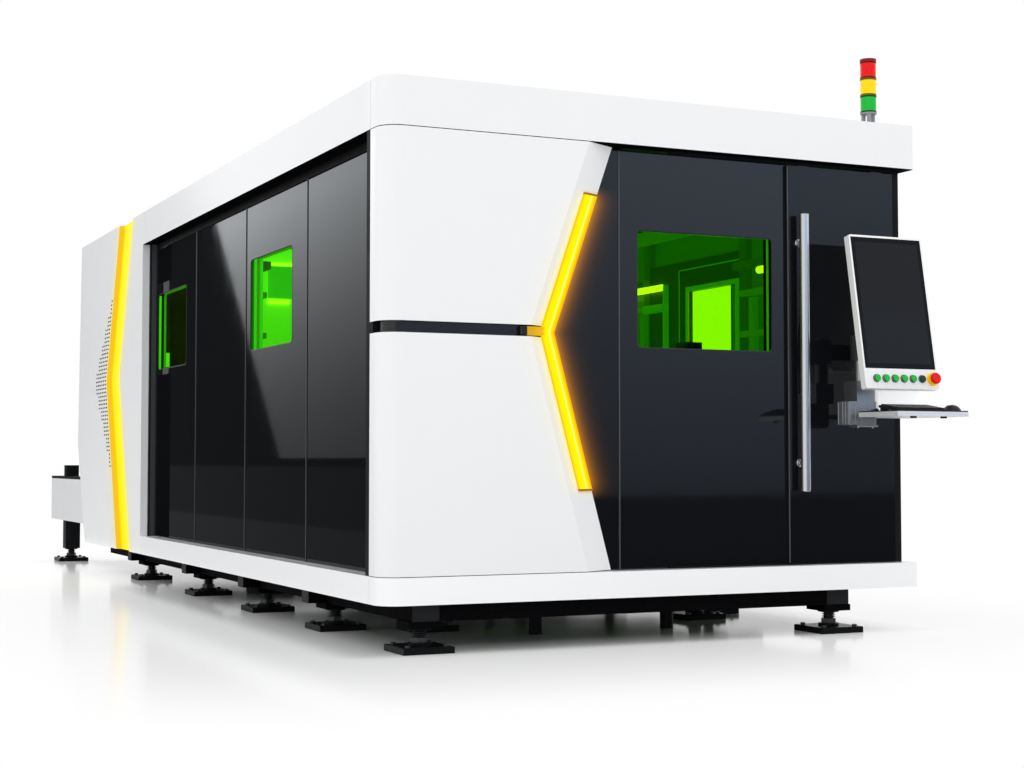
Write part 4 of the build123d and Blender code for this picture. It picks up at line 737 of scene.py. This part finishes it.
class CUTTER_OT_glass(bpy.types.Operator):
    """Glaze the windows and fit their gaskets and inner frames"""

    bl_idname = "cutter.glass"
    bl_label = "Glaze the windows"

    def execute(self, context):
        tones = context.scene.cutter_finishes
        sizes = context.scene.cutter_fittings
        pane = Recipe("laser_glass")
        smear = pane.noise(6.0, 3.0)
        pane.tint(pane.blend(smear, shade(tones.glass, 0.97), tones.glass))
        pane.set(clear=1.0, ior=1.015, rough=smear.span(0.0, 0.012), spec=0.2)
        dress(pane, "front_window", "side_windows")
        rubber = plastic("gasket_rubber", (0.012, 0.0125, 0.014), 0.35, 0.4)
        trim = spilled(paint("inner_frame_grey", tones.inner, 0.35, 0.5), tones, 0.16)
        low, high = (np.array(row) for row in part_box("front_window"))
        size = high - low
        windows = [("front", (low + high) / 2, (1, 0, 0), (0, -1, 0), size[0], size[2], 0.020)]
        low, high = (np.array(row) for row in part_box("side_windows"))
        run = 0.690 + 2 * GLASS_LAP
        for tag, x, out in (("left", low[0] + 0.003, -1), ("right", high[0] - 0.003, 1)):
            for part, y in (("near", low[1] + run / 2), ("far", high[1] - run / 2)):
                centre = np.array([x, y, (low[2] + high[2]) / 2])
                across, height = (0, -out, 0), high[2] - low[2]
                windows.append((f"{tag}_{part}", centre, across, (out, 0, 0), run, height, 0.025))
        lip = sizes.gasket_lap
        wide, deep = sizes.frame_width, sizes.frame_depth
        for tag, centre, across, out, width, height, radius in windows:
            face = centre + np.array(out) * 0.007
            plane = (face, across, (0, 0, 1), out)
            width, height = width - 2 * GLASS_LAP, height - 2 * GLASS_LAP
            loop, spread = rounded_loop(width, height, radius)
            seal = [(-0.002, -0.004), (-0.002, 0.4 * sizes.gasket_rise), (-0.001, sizes.gasket_rise),
                    (lip - 0.001, sizes.gasket_rise), (lip, 0.0), (0.0, 0.0), (0.0, -0.004),
                    (-0.002, -0.004)]
            lay("gasket_" + tag, [ring(plane, loop, spread, seal)], rubber, "machine")
            if tag != "right_near":
                back = (face - np.array(out) * (0.0405 + deep), across, (0, 0, 1), out)
                patches = self.surround(back, width, height, 0.004, wide, deep)
                lay("inner_frame_" + tag, patches, trim, "machine")
        self.cover(tones, trim)
        return {"FINISHED"}

    @staticmethod
    def surround(plane, width, height, start, end, deep):
        """A mitred frame of a stepped section round a rectangle, with domed screws along it."""
        loop, spread = square_loop(width, height)
        step = (start + end) / 2
        section = [(start, 0.0), (start, deep), (end, deep), (end, 0.003), (end - 0.002, 0.0), (step, 0.0),
                   (step, 0.002), (start + 0.002, 0.002), (start, 0.0)]
        patches = [ring(plane, loop, spread, section)]
        centre, across, up, out = (np.asarray(row, dtype=float) for row in plane)
        along = np.linspace(-0.42, 0.42, 4)
        over = (height + step + end) / 2
        beside = (width + step + end) / 2
        spots = np.concatenate([np.stack([along * width, np.full(4, over)], axis=-1),
                                np.stack([np.full(4, -beside), along * height], axis=-1),
                                np.stack([np.full(4, beside), along * height], axis=-1)])
        dome = [(0.005, 0.001), (0.005, -0.002), (0.0035, -0.0035), (0.0, -0.004)]
        return patches + [lathe(centre + u * across + v * up, out, dome, 10) for u, v in spots]

    def cover(self, tones, trim):
        """A dark cover inside the right near window; its opening has a pale frame."""
        x, near, far, foot, top = 1.136, -2.388, -1.910, 1.235, 1.689
        back, crown, ledge = x + 0.022, 1.860, 1.815
        dark = spilled(paint("casing_grey", tones.casing, 0.4, 0.3), tones, 0.030)
        plane = ((x, (near + far) / 2, (foot + top) / 2), (0, -1, 0), (0, 0, 1), (1, 0, 0))
        loop, spread = square_loop(far - near, top - foot)
        section = [(0.0, 0.0), (0.0, 0.022), (0.037, 0.022), (0.037, 0.0), (0.0, 0.0)]
        plate = [ring(plane, loop, spread, section),
                 slab((x, far + 0.036, foot - 0.030), (back, -1.475, crown)),
                 slab((x, near - 0.030, top + 0.036), (back, far + 0.040, crown))]
        lay("window_cover", plate, dark, "machine")
        plane = ((x - 0.010, *plane[0][1:]), *plane[1:])
        patches = self.surround(plane, far - near, top - foot, 0.0, 0.026, 0.010)
        lay("window_cover_frame", patches, trim, "machine")
        edge = [slab((x - 0.004, far + 0.100, foot), (x, far + 0.106, ledge)),
                slab((x - 0.004, near - 0.030, 1.809), (x, far + 0.106, ledge)),
                slab((x - 0.030, -1.690, 1.235), (x, -1.672, 1.745)),
                slab((x - 0.046, -1.690, 1.600), (x, -1.470, 1.640))]
        lay("window_cover_edges", edge, trim, "machine")


class CUTTER_OT_strips(bpy.types.Operator):
    """Add the pale core, the end caps and the collar of the front light strip"""

    bl_idname = "cutter.strips"
    bl_label = "Front strip's core and caps"

    def execute(self, context):
        tones = context.scene.cutter_finishes
        sizes = context.scene.cutter_fittings
        core = plastic("amber_core", (0.10, 0.08, 0.02), 0.5, 0.05)
        core.glow(tones.amber_pale, 1.0)
        along = np.array([math.cos(FACET_ANGLE), math.sin(FACET_ANGLE), 0.0])
        rise = np.array([math.sin(FACET_ANGLE), -math.cos(FACET_ANGLE), 0.0])

        def on_strip(z, share, lift):
            """Points over the facet at these heights, a share across it and lifted off it."""
            depth = np.full_like(z, FRONT_Y + share * FACET[1])
            return np.stack([edge_at(z) + share * FACET[0], depth, z], axis=-1) + lift * rise

        def section(*corners):
            """A section across the strip, from places along the facet and off it."""
            return [along * u + rise * v for u, v in corners]

        half = sizes.core_width / 2
        ridge = section((-half, -0.001), (half, -0.001), (half * 0.7, 0.0006), (-half * 0.7, 0.0006))
        patches = [bar(on_strip(np.array(run), 0.74, LED_LIFT), ridge)
                   for run in ((0.656, KINK_Z), (KINK_Z, 1.876))]
        lay("front_strip_core", patches, core, "machine", 60)
        cap = plastic("strip_cap", (0.42, 0.15, 0.005), 0.5, 0.2)
        reach = (LED_SHARES[1] - LED_SHARES[0]) * float(np.hypot(*FACET)) / 2 + 0.0015
        block = section((-reach, 0.0002), (reach, 0.0002), (reach, 0.0105), (-reach, 0.0105))
        patches = [bar(on_strip(np.array(run), sum(LED_SHARES) / 2, 0.0), block) for run in STRIP_ENDS]
        lay("front_strip_caps", patches, cap, "machine", 30)
        collar = paint("collar_black", tones.black, 0.10, 0.5, 0.1, 0.02)
        sleeve = slab((-0.6955, -3.6480, 1.2800), (-0.6640, -3.6110, 1.3190), 0.003)
        lay("stub_collar", [sleeve], collar, "machine")
        return {"FINISHED"}


class CUTTER_OT_seams(bpy.types.Operator):
    """Trim the seams of the panels and plug the ends of the base beams"""

    bl_idname = "cutter.seams"
    bl_label = "Seam trims and beam plugs"

    def execute(self, context):
        tones = context.scene.cutter_finishes
        sizes = context.scene.cutter_fittings
        satin = paint("seam_satin", tones.seam, 0.3, 0.4, 0.1, 0.03)
        half, rise = sizes.seam_width / 2, sizes.seam_rise
        sides = []
        sunk = 0.0005 - SIDE_FACE
        for y in SEAM_Y:
            sides += both_sides((-SIDE_FACE - rise, y - half, PANEL_FOOT), (sunk, y + half, PANEL_TOP))
        lay("side_seams", sides, satin, "machine")
        matt = plastic("edge_rubber", (0.010, 0.0105, 0.012), 0.6, 0.1)
        edges = both_sides((-0.0025 - SIDE_FACE, 0.482, PANEL_FOOT), (sunk, 0.549, PANEL_TOP))
        lay("rear_edges", edges, matt, "machine")
        lay("vent_liners", self.vent_liners(), matt, "machine")
        # Matt black sheets over the left side panel's rear end, which take away its gloss there: painted
        # shade in place of the panel's reflection.
        film = paint("shade_film", tones.black, 0.9, 0.0, 0.05, 0.02)
        films = [slab((-0.0008 - SIDE_FACE, 0.150, low), (0.0003 - SIDE_FACE, 0.480, high), 0.0002)
                 for low, high in ((0.314, 1.290), (1.850, 2.060))]
        lay("panel_shade_films", films, film, "machine")
        low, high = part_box("window_panel")
        x, y = low[0] - 0.0015, low[1]
        front = [slab((x - half, y - rise, PANEL_FOOT), (x + half, y + 0.0005, LEAF_TOP))]
        lay("front_seam", front, satin, "machine")
        lip = [slab((high[0] - 0.001, y + 0.0003, PANEL_FOOT), (high[0] + 0.014, y + 0.0035, LEAF_TOP))]
        lay("leaf_seal", lip, matt, "machine")
        low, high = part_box("door_leaf")
        # A grey strip along the door leaf's left edge: a painted highlight of that edge.
        edge = [slab((low[0], low[1] - rise, low[2] + 0.002), (low[0] + 2 * half, low[1] + 0.0005, 2.080))]
        lay("leaf_edge_highlight", edge, satin, "door")
        plug = plastic("beam_plug", tones.black, 0.5, 0.2)
        foot, top = BEAM_PLUG
        ends = [slab((x - 0.058, -3.5535, foot), (x + 0.058, -3.5495, top), 0.002) for x in FOOT_X]
        for y in BEAM_Y:
            ends += both_sides((-1.2155, y - 0.048, foot), (-1.2115, y + 0.048, top), 0.002)
        lay("beam_plugs", ends, plug, "machine")
        return {"FINISHED"}

    @staticmethod
    def vent_liners():
        """Dark sheets behind the vents: a thin rectangle carried up along the bent light channel."""
        z = np.array([0.420, 0.420, GROOVE_KINK[0], 2.150, 2.150])
        bend = np.array([GROOVE_FOOT, GROOVE_KINK, GROOVE_TOP])
        near = np.interp(z, bend[:, 0], bend[:, 1]) + GROOVE_HALF + 0.012
        corners = np.array([(1.2840, 0.0), (1.2943, 0.0), (1.2943, 0.420), (1.2840, 0.420)])
        x = np.broadcast_to(corners[:, 0], (5, 4))
        y = near[:, None] + corners[:, 1]
        grid = np.stack([x, y, np.broadcast_to(z[:, None], (5, 4))], axis=-1).copy()
        grid[[0, -1]] = grid[[0, -1]].mean(axis=1, keepdims=True)
        return [(grid, False, True), (grid * (-1.0, 1.0, 1.0), False, True)]


class CUTTER_OT_feet(bpy.types.Operator):
    """Finish the feet and cut threads on their studs"""

    bl_idname = "cutter.feet"
    bl_label = "Feet and threads"

    def execute(self, context):
        tones = context.scene.cutter_finishes
        sizes = context.scene.cutter_fittings
        dress(paint("foot_black", tones.black, 0.30, 0.07, 0.2, 0.15, 180.0), "levelling_feet")
        dress(brushed("bolt_black", shade(tones.steel, 0.10), (80.0, 80.0, 80.0), 0.35), "foot_fasteners")
        steel = brushed("stud_black", shade(tones.steel, 0.07), (200.0, 200.0, 20.0), 0.35)
        spots = [(x, y) for x in FOOT_X for y in (-3.480, *BEAM_Y)] + JACKS + TABLE_FEET
        low, high, core = 0.0610, 0.0870, 0.0205
        turn = np.linspace(0, 2 * math.pi * (high - low) / sizes.thread_pitch, 120)
        height = low + sizes.thread_pitch * turn / (2 * math.pi)
        crest = core + sizes.thread_depth
        section = [(core, -0.0028), (crest, -0.0006), (crest, 0.0006), (core, 0.0028)]
        coil = np.stack([np.stack([r * np.cos(turn), r * np.sin(turn), height + dz], axis=-1)
                         for r, dz in section], axis=1)
        tips = [np.repeat(row.mean(axis=1, keepdims=True), 4, axis=1) for row in (coil[:1], coil[-1:])]
        coil = np.concatenate([tips[0], coil, tips[1]])
        patches = [(coil + np.array([x, y, 0.0]), False, True) for x, y in spots]
        lay("stud_threads", patches, steel, "machine", 30)
        profile = [(0.021, 0.084), (0.030, 0.084), (0.034, 0.088), (0.034, 0.112), (0.038, 0.114),
                   (0.038, 0.1245), (0.021, 0.1245), (0.021, 0.084)]
        collars = [lathe((x, y, 0.0), (0, 0, 1), profile, 28) for x, y in JACKS]
        lay("jack_collars", collars, steel, "machine", 30)
        return {"FINISHED"}


class CUTTER_OT_door(bpy.types.Operator):
    """Brush the handle and add the rosettes of its standoffs"""

    bl_idname = "cutter.door"
    bl_label = "Door handle"

    def execute(self, context):
        tones = context.scene.cutter_finishes
        steel = brushed("handle_steel", tones.steel, (500.0, 500.0, 9.0), 0.24, 0.06)
        dress(steel, "door_handle")
        low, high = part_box("door_handle")
        x = (low[0] + high[0]) / 2
        bore, inset = 0.0101, 0.126
        profile = [(bore, 0.0), (0.0175, 0.0), (0.0175, 0.003), (0.0150, 0.005), (bore, 0.0055),
                   (bore, 0.0)]
        patches = [lathe((x, high[1], z), (0, -1, 0), profile, 32)
                   for z in (low[2] + inset, high[2] - inset)]
        lay("handle_rosettes", patches, steel, "door")
        return {"FINISHED"}


class CUTTER_OT_console(bpy.types.Operator):
    """Finish the console and add its button rings, tray rim, mat, clips, fins and mouse wheel"""

    bl_idname = "cutter.console"
    bl_label = "Console"

    def execute(self, context):
        tones = context.scene.cutter_finishes
        sizes = context.scene.cutter_fittings
        silver = brushed("console_silver", shade(tones.alloy, 1.15), (300.0, 20.0, 20.0), 0.45, 0.05)
        silver.set(metal=0.35)
        dress(silver, "console_tray")
        post = brushed("post_alloy", shade(tones.alloy, 0.62), (20.0, 20.0, 300.0), 0.38, 0.10)
        dress(post, "swivel_post")
        white = (0.93, 0.935, 0.94)
        dress(paint("console_white", white, 0.3, 0.25, 0.01), "screen_housing")
        column = paint("column_lit_white", white, 0.3, 0.25, 0.01)
        # A white glow on the column: painted light.
        column.glow((1.0, 1.0, 1.0), 0.36)
        dress(column, "console_column")
        dress(paint("arm_grey", (0.030, 0.032, 0.035), 0.4, 0.3), "console_arm", "console_bracket")
        dress(self.display(), "screen_glass")
        dress(plastic("key_black", (0.010, 0.010, 0.011), 0.42, 0.4), "keyboard", "mouse")
        for index in range(1, 6):
            dress(self.button("button_green", tones.green), f"button_{index}")
        dress(self.button("button_dark", tones.dark_green), "button_6")
        dress(self.cap("stop_yellow", tones.yellow), "estop_base")
        dress(self.cap("stop_red", tones.red), "estop_button")
        bezel = plastic("bezel_black", tones.black, 0.3)
        self.rings(sizes, bezel)
        self.tray(bezel)
        self.block(sizes, post, bezel)
        return {"FINISHED"}

    @staticmethod
    def display():
        """Dark glass: a paler field inside a black border."""
        recipe = Recipe("screen_glass")
        x, _, up = recipe.panel_axes()
        lit = x.within(0.028, 0.367) * up.within(0.113, 0.662)
        field = recipe.blend(recipe.noise(3.0), (0.0160, 0.0178, 0.0215), (0.0180, 0.0200, 0.0240))
        recipe.tint(recipe.blend(lit, (0.0085, 0.0095, 0.0110), field))
        recipe.set(rough=recipe.noise(30.0).span(0.05, 0.09), spec=0.05)
        return recipe

    @staticmethod
    def cap(name, tone):
        """Shiny moulded plastic with a faint glow in its own colour: painted light."""
        recipe = plastic(name, tone, 0.25, 0.15, 600.0, 0.05)
        recipe.set(coat=0.05, coat_rough=0.15)
        recipe.glow(tone, 0.15)
        return recipe

    def button(self, name, tone):
        """A push button: face brightened by a painted glow, flank darkened as painted shade."""
        recipe = self.cap(name, tone)
        face = recipe.panel_axes()[1] > 0.0105
        # Darker flank: painted shade; brighter glow on the face: painted light.
        recipe.tint(recipe.blend(face, shade(tone, 0.15), tone))
        recipe.glow(tone, face.span(0.0, 0.25))
        return recipe

    @staticmethod
    def rings(sizes, finish):
        """A turned ring round each push button."""
        out = np.array([0.0, -math.cos(PANEL_LEAN), math.sin(PANEL_LEAN)])
        up = np.array([0.0, math.sin(PANEL_LEAN), math.cos(PANEL_LEAN)])
        inner, outer = 0.0156, 0.0156 + sizes.bezel_width
        profile = [(inner, 0.0), (inner, 0.0022), (inner + 0.0006, 0.0028), (outer - 0.0006, 0.0028),
                   (outer, 0.0018), (outer, 0.0), (inner, 0.0)]
        first = SCREEN_CORNER + 0.046 * up
        rings = [lathe(first + (0.062 + 0.0486 * k, 0, 0), out, profile, 28) for k in range(6)]
        lay("button_rings", rings, finish, "screen")

    @staticmethod
    def tray(finish):
        """A raised rim and a mat on the tray, clips under its lip, and the wheel of the mouse."""
        low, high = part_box("console_tray")
        width, depth = high[0] - low[0], 0.270
        centre = np.array([(low[0] + high[0]) / 2, low[1] + depth / 2, high[2]])
        loop, spread = rounded_loop(width, depth, 0.004, 5)
        rim = [(-0.0058, -0.001), (-0.0058, 0.0042), (-0.0050, 0.005), (-0.0010, 0.005), (-0.0002, 0.0042),
               (-0.0002, -0.001), (-0.0058, -0.001)]
        level = ((1, 0, 0), (0, 1, 0), (0, 0, 1))
        lay("tray_rim", [ring((centre, *level), loop, spread, rim)], finish, "console")
        loop, spread = rounded_loop(width - 0.014, depth - 0.014, 0.006, 5)
        seat = centre - (0, 0, 0.002)
        points = ring((seat, *level), loop, spread, [(-0.001, 0.0015), (0.0, 0.0010), (0.0, 0.0)])[0]
        middle = np.broadcast_to(seat + (0, 0, 0.0015), points[:, :1].shape)
        under = np.broadcast_to(seat, points[:, :1].shape)
        lay("tray_mat", [(np.concatenate([middle, points, under], axis=1), True, False)],
            plastic("mat_black", (0.010, 0.010, 0.011), 0.6, 0.3, 500.0, 0.3), "console")
        _, y, z = low
        clips = [slab((x - 0.011, y + 0.002, z - 0.009), (x + 0.011, y + 0.022, z + 0.001))
                 for x in (0.931, 1.090)]
        lay("tray_clips", clips, finish, "console")
        low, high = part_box("mouse")
        hub = ((low[0] + high[0]) / 2, high[1] - 0.026, high[2] - 0.0085)
        wheel = [(0.0, -0.0035), (0.0055, -0.0035), (0.0070, -0.0022), (0.0070, 0.0022), (0.0055, 0.0035),
                 (0.0, 0.0035)]
        lay("mouse_wheel", [lathe(hub, (1, 0, 0), wheel, 24)], finish, "console")

    @staticmethod
    def block(sizes, finish, dark):
        """Fins on the front and left faces of the swivel block, its foot plate and a knob."""
        left, front, foot, top = 0.809, -3.800, 0.925, 1.028
        wide, low, high = sizes.fin_width, foot + 0.003, top - 0.003
        fins = [slab((x, front - 0.0025, low), (x + wide, front + 0.0005, high), 0.0008)
                for x in left + np.array([0.002, 0.034, 0.066, 0.098, 0.138])]
        fins += [slab((left - 0.0025, y, low), (left + 0.0005, y + wide, high), 0.0008)
                 for y in front + np.array([0.002, 0.022, 0.042, 0.074])]
        fins.append(slab((0.852, front - 0.006, foot - 0.008), (0.962, front + 0.060, foot + 0.0005)))
        pin = [(0.0, 0.0), (0.004, 0.0), (0.004, 0.006), (0.0, 0.007)]
        fins += [lathe((x, front + 0.006, foot - 0.0075), (0, 0, -1), pin, 12) for x in (0.862, 0.940)]
        lay("post_fins", fins, finish, "console")
        knob = [(0.0, -0.001), (0.006, -0.001), (0.006, 0.010), (0.013, 0.012), (0.013, 0.022),
                (0.011, 0.024), (0.0, 0.024)]
        turned = [lathe((0.942, front, 0.985), (0, -1, 0), knob, 20)]
        lay("post_knob", turned, dark, "console")


class CUTTER_OT_stage(bpy.types.Operator):
    """Set up the floor, the studio's light and the camera"""

    bl_idname = "cutter.stage"
    bl_label = "Studio"

    def execute(self, context):
        scene = context.scene
        stage = scene.cutter_stage
        scene.view_settings.view_transform = "Standard"
        self.world(scene, stage)
        self.floor(scene)
        self.cards(scene)
        for name, place, target, size, power in (
                ("key_lamp", (-2.0, -12.0, 1.8), (-0.2, -3.6, 0.9), 5.0, stage.key),
                ("side_lamp", (-9.5, -1.5, 1.5), (-1.3, 0.5, 0.7), 6.0, stage.side),
                ("right_lamp", (6.0, -11.0, 0.9), (0.0, -3.6, 0.7), 4.0, stage.right),
                ("top_lamp", (0.5, -1.0, 7.5), (0.0, -0.5, 0.0), 7.0, stage.fill)):
            self.lamp(scene, name, place, target, size, power)
        eye = bpy.data.cameras.new("photo_camera")
        eye.lens = stage.lens
        eye.sensor_width = 36.0
        eye.clip_end = 200.0
        camera = bpy.data.objects.new("photo_camera", eye)
        camera.location = stage.place
        camera.rotation_euler = (math.pi / 2 + stage.pitch, 0.0, -stage.heading)
        scene.collection.objects.link(camera)
        scene.camera = camera
        return {"FINISHED"}

    @staticmethod
    def seen(tree):
        """1 for camera, glossy and transmission rays, 0 for the rays that light things."""
        path = tree.nodes.new("ShaderNodeLightPath")
        total = path.outputs["Is Camera Ray"]
        for name in ("Is Glossy Ray", "Is Transmission Ray"):
            node = tree.nodes.new("ShaderNodeMath")
            node.operation = "MAXIMUM"
            tree.links.new(total, node.inputs[0])
            tree.links.new(path.outputs[name], node.inputs[1])
            total = node.outputs[0]
        return total

    def world(self, scene, stage):
        sky = bpy.data.worlds.new("pale_studio")
        sky.use_nodes = True
        tree = sky.node_tree
        back = tree.nodes["Background"]
        back.inputs["Color"].default_value = (1.0, 1.0, 1.0, 1.0)
        node = tree.nodes.new("ShaderNodeMapRange")
        tree.links.new(self.seen(tree), node.inputs[0])
        node.inputs[3].default_value = stage.ambient
        node.inputs[4].default_value = 1.0
        tree.links.new(node.outputs[0], back.inputs["Strength"])
        scene.world = sky

    def floor(self, scene):
        """A wide disc: pale gloss near the machine, with a darker tint under the machine as a painted
        shadow, fading to plain white far from it.
        """
        radius = np.array([0.0, 3.0, 6.0, 9.0, 14.0, 40.0])
        angle = np.linspace(0, 2 * math.pi, 64, endpoint=False)[:, None]
        depth = np.full((64, 6), -0.0005)
        grid = np.stack([radius * np.cos(angle), radius * np.sin(angle), depth], axis=-1)
        quads = cells(depth.shape, True, False)[:, ::-1]
        mesh = bpy.data.meshes.new("studio_floor")
        mesh.from_pydata(grid.reshape(-1, 3).tolist(), [], quads.tolist())
        recipe = Recipe("studio_floor")
        recipe.set(rough=0.12, spec=0.12)
        watched = Value(recipe, self.seen(recipe.tree))
        x, y, _ = recipe.axes()
        off, along = abs(x), abs(y)
        # Inside the machine's footprint the floor is tinted darker and loses its glow: a painted shadow.
        clear = (off - 1.2).at_least(along - 3.5).span(0.0, 1.0, -0.25, 0.0)
        recipe.tint(recipe.blend(clear, (0.60, 0.605, 0.61), (0.93, 0.935, 0.94)))
        recipe.glow((1.0, 1.0, 1.0), watched * clear * 0.05)
        gap = recipe.sum("SQRT", (off - 1.3).at_least(0.0) ** 2.0 + (along - 3.5).at_least(0.0) ** 2.0)
        far = gap.span(0.0, 0.40, 0.0, 0.20, True) + gap.span(0.0, 0.60, 0.12, 2.1, True)
        white = recipe.add("ShaderNodeEmission")
        white.inputs["Strength"].default_value = 1.0
        recipe.mix(far * watched, recipe.shader, white)
        self.place(scene, "studio_floor", mesh, recipe)

    def cards(self, scene):
        """Cards that only gloss sees: dark flags on the floor, dark cards and cards brighter upwards."""
        far = 300.0

        def oblong(u, v, u_end, v_end):
            return [(u, v), (u_end, v), (u_end, v_end), (u, v_end)]

        for name, area, level in (("flag_left", (-far, -3.0, -2.2, far), 0.12),
                                  ("flag_front", (-1.0, -far, far, -5.0), 0.03)):
            self.sheet(scene, name, [(x, y, 0.002) for x, y in oblong(*area)], level)
        pale = [(5.5, 0.80), (10.2, 0.80), (14.0, 4.9), (14.0, 8.5), (5.5, 8.5)]
        for name, x, corners, light in (("card_dark", -5.2, oblong(4.0, -0.4, 60.0, 9.0), {"level": 0.03}),
                                        ("card_low", -5.1, oblong(4.0, -0.4, 60.0, 0.7), {"level": 0.07}),
                                        ("card_pale", -5.0, pale,
                                         {"level": 0.28, "gain": 0.075, "power": 2.5, "top": 3.9})):
            self.sheet(scene, name, [(x, y, z) for y, z in corners], **light)
        front = [(x, -30.0, z) for x, z in oblong(60.0, -0.5, -12.0, 14.0)]
        self.sheet(scene, "card_front", front, 0.30, 0.095, 1.0, (0.80, 0.95, 1.20))

    def sheet(self, scene, name, corners, level, gain=0.0, power=1.0, tone=(0.93, 0.97, 1.0), top=14.0):
        """A flat card, clear from behind; its light is level + gain * height ^ power, even above a top."""
        mesh = bpy.data.meshes.new("studio_" + name)
        mesh.from_pydata(corners, [], [list(range(len(corners)))])
        recipe = Recipe("studio_" + name)
        glow = recipe.add("ShaderNodeEmission")
        height = recipe.axes()[2].at_least(0.0).at_most(top)
        recipe.fill(glow, tone, height ** power * gain + level)
        behind = recipe.add("ShaderNodeNewGeometry").outputs["Backfacing"]
        recipe.mix(behind, glow, recipe.add("ShaderNodeBsdfTransparent"))
        card = self.place(scene, "studio_" + name, mesh, recipe)
        card.visible_camera = False
        card.visible_diffuse = False
        card.visible_shadow = False
        card.visible_transmission = False

    @staticmethod
    def place(scene, name, mesh, finish):
        mesh.materials.append(finish.material)
        card = bpy.data.objects.new(name, mesh)
        scene.collection.objects.link(card)
        return card

    @staticmethod
    def lamp(scene, name, place, target, size, power):
        light = bpy.data.lights.new(name, "AREA")
        light.shape = "SQUARE"
        light.size = size
        light.energy = power
        lamp = bpy.data.objects.new(name, light)
        lamp.location = place
        aim = np.array(target) - np.array(place)
        tilt = math.acos(-aim[2] / np.linalg.norm(aim))
        lamp.rotation_euler = (tilt, 0.0, math.atan2(aim[1], aim[0]) - math.pi / 2)
        lamp.visible_glossy = False
        scene.collection.objects.link(lamp)


class CUTTER_PT_sidebar(bpy.types.Panel):
    """Lists the steps and the values that they use"""

    bl_label = "Laser cutter"
    bl_idname = "CUTTER_PT_sidebar"
    bl_space_type = "VIEW_3D"
    bl_region_type = "UI"
    bl_category = "Laser cutter"

    def draw(self, context):
        for step in STEPS:
            self.layout.operator(step.bl_idname)
        for name, _ in GROUPS:
            group = getattr(context.scene, name)
            box = self.layout.box()
            for key in group.bl_rna.properties.keys():
                if key not in ("rna_type", "name"):
                    box.prop(group, key)


GROUPS = (("cutter_finishes", CutterFinishes), ("cutter_fittings", CutterFittings),
          ("cutter_stage", CutterStage))
STEPS = (CUTTER_OT_skin, CUTTER_OT_inside, CUTTER_OT_lights, CUTTER_OT_glass, CUTTER_OT_strips,
         CUTTER_OT_seams, CUTTER_OT_feet, CUTTER_OT_door, CUTTER_OT_console, CUTTER_OT_stage)


def register():
    for name, group in GROUPS:
        bpy.utils.register_class(group)
        setattr(bpy.types.Scene, name, PointerProperty(type=group))
    for step in STEPS:
        bpy.utils.register_class(step)
    bpy.utils.register_class(CUTTER_PT_sidebar)


def unregister():
    bpy.utils.unregister_class(CUTTER_PT_sidebar)
    for step in reversed(STEPS):
        bpy.utils.unregister_class(step)
    for name, group in reversed(GROUPS):
        delattr(bpy.types.Scene, name)
        bpy.utils.unregister_class(group)


def main():
    """Registers the add-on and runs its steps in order."""
    register()
    for step in STEPS:
        space, name = step.bl_idname.split(".")
        getattr(getattr(bpy.ops, space), name)()


if __name__ == "__main__":
    main()
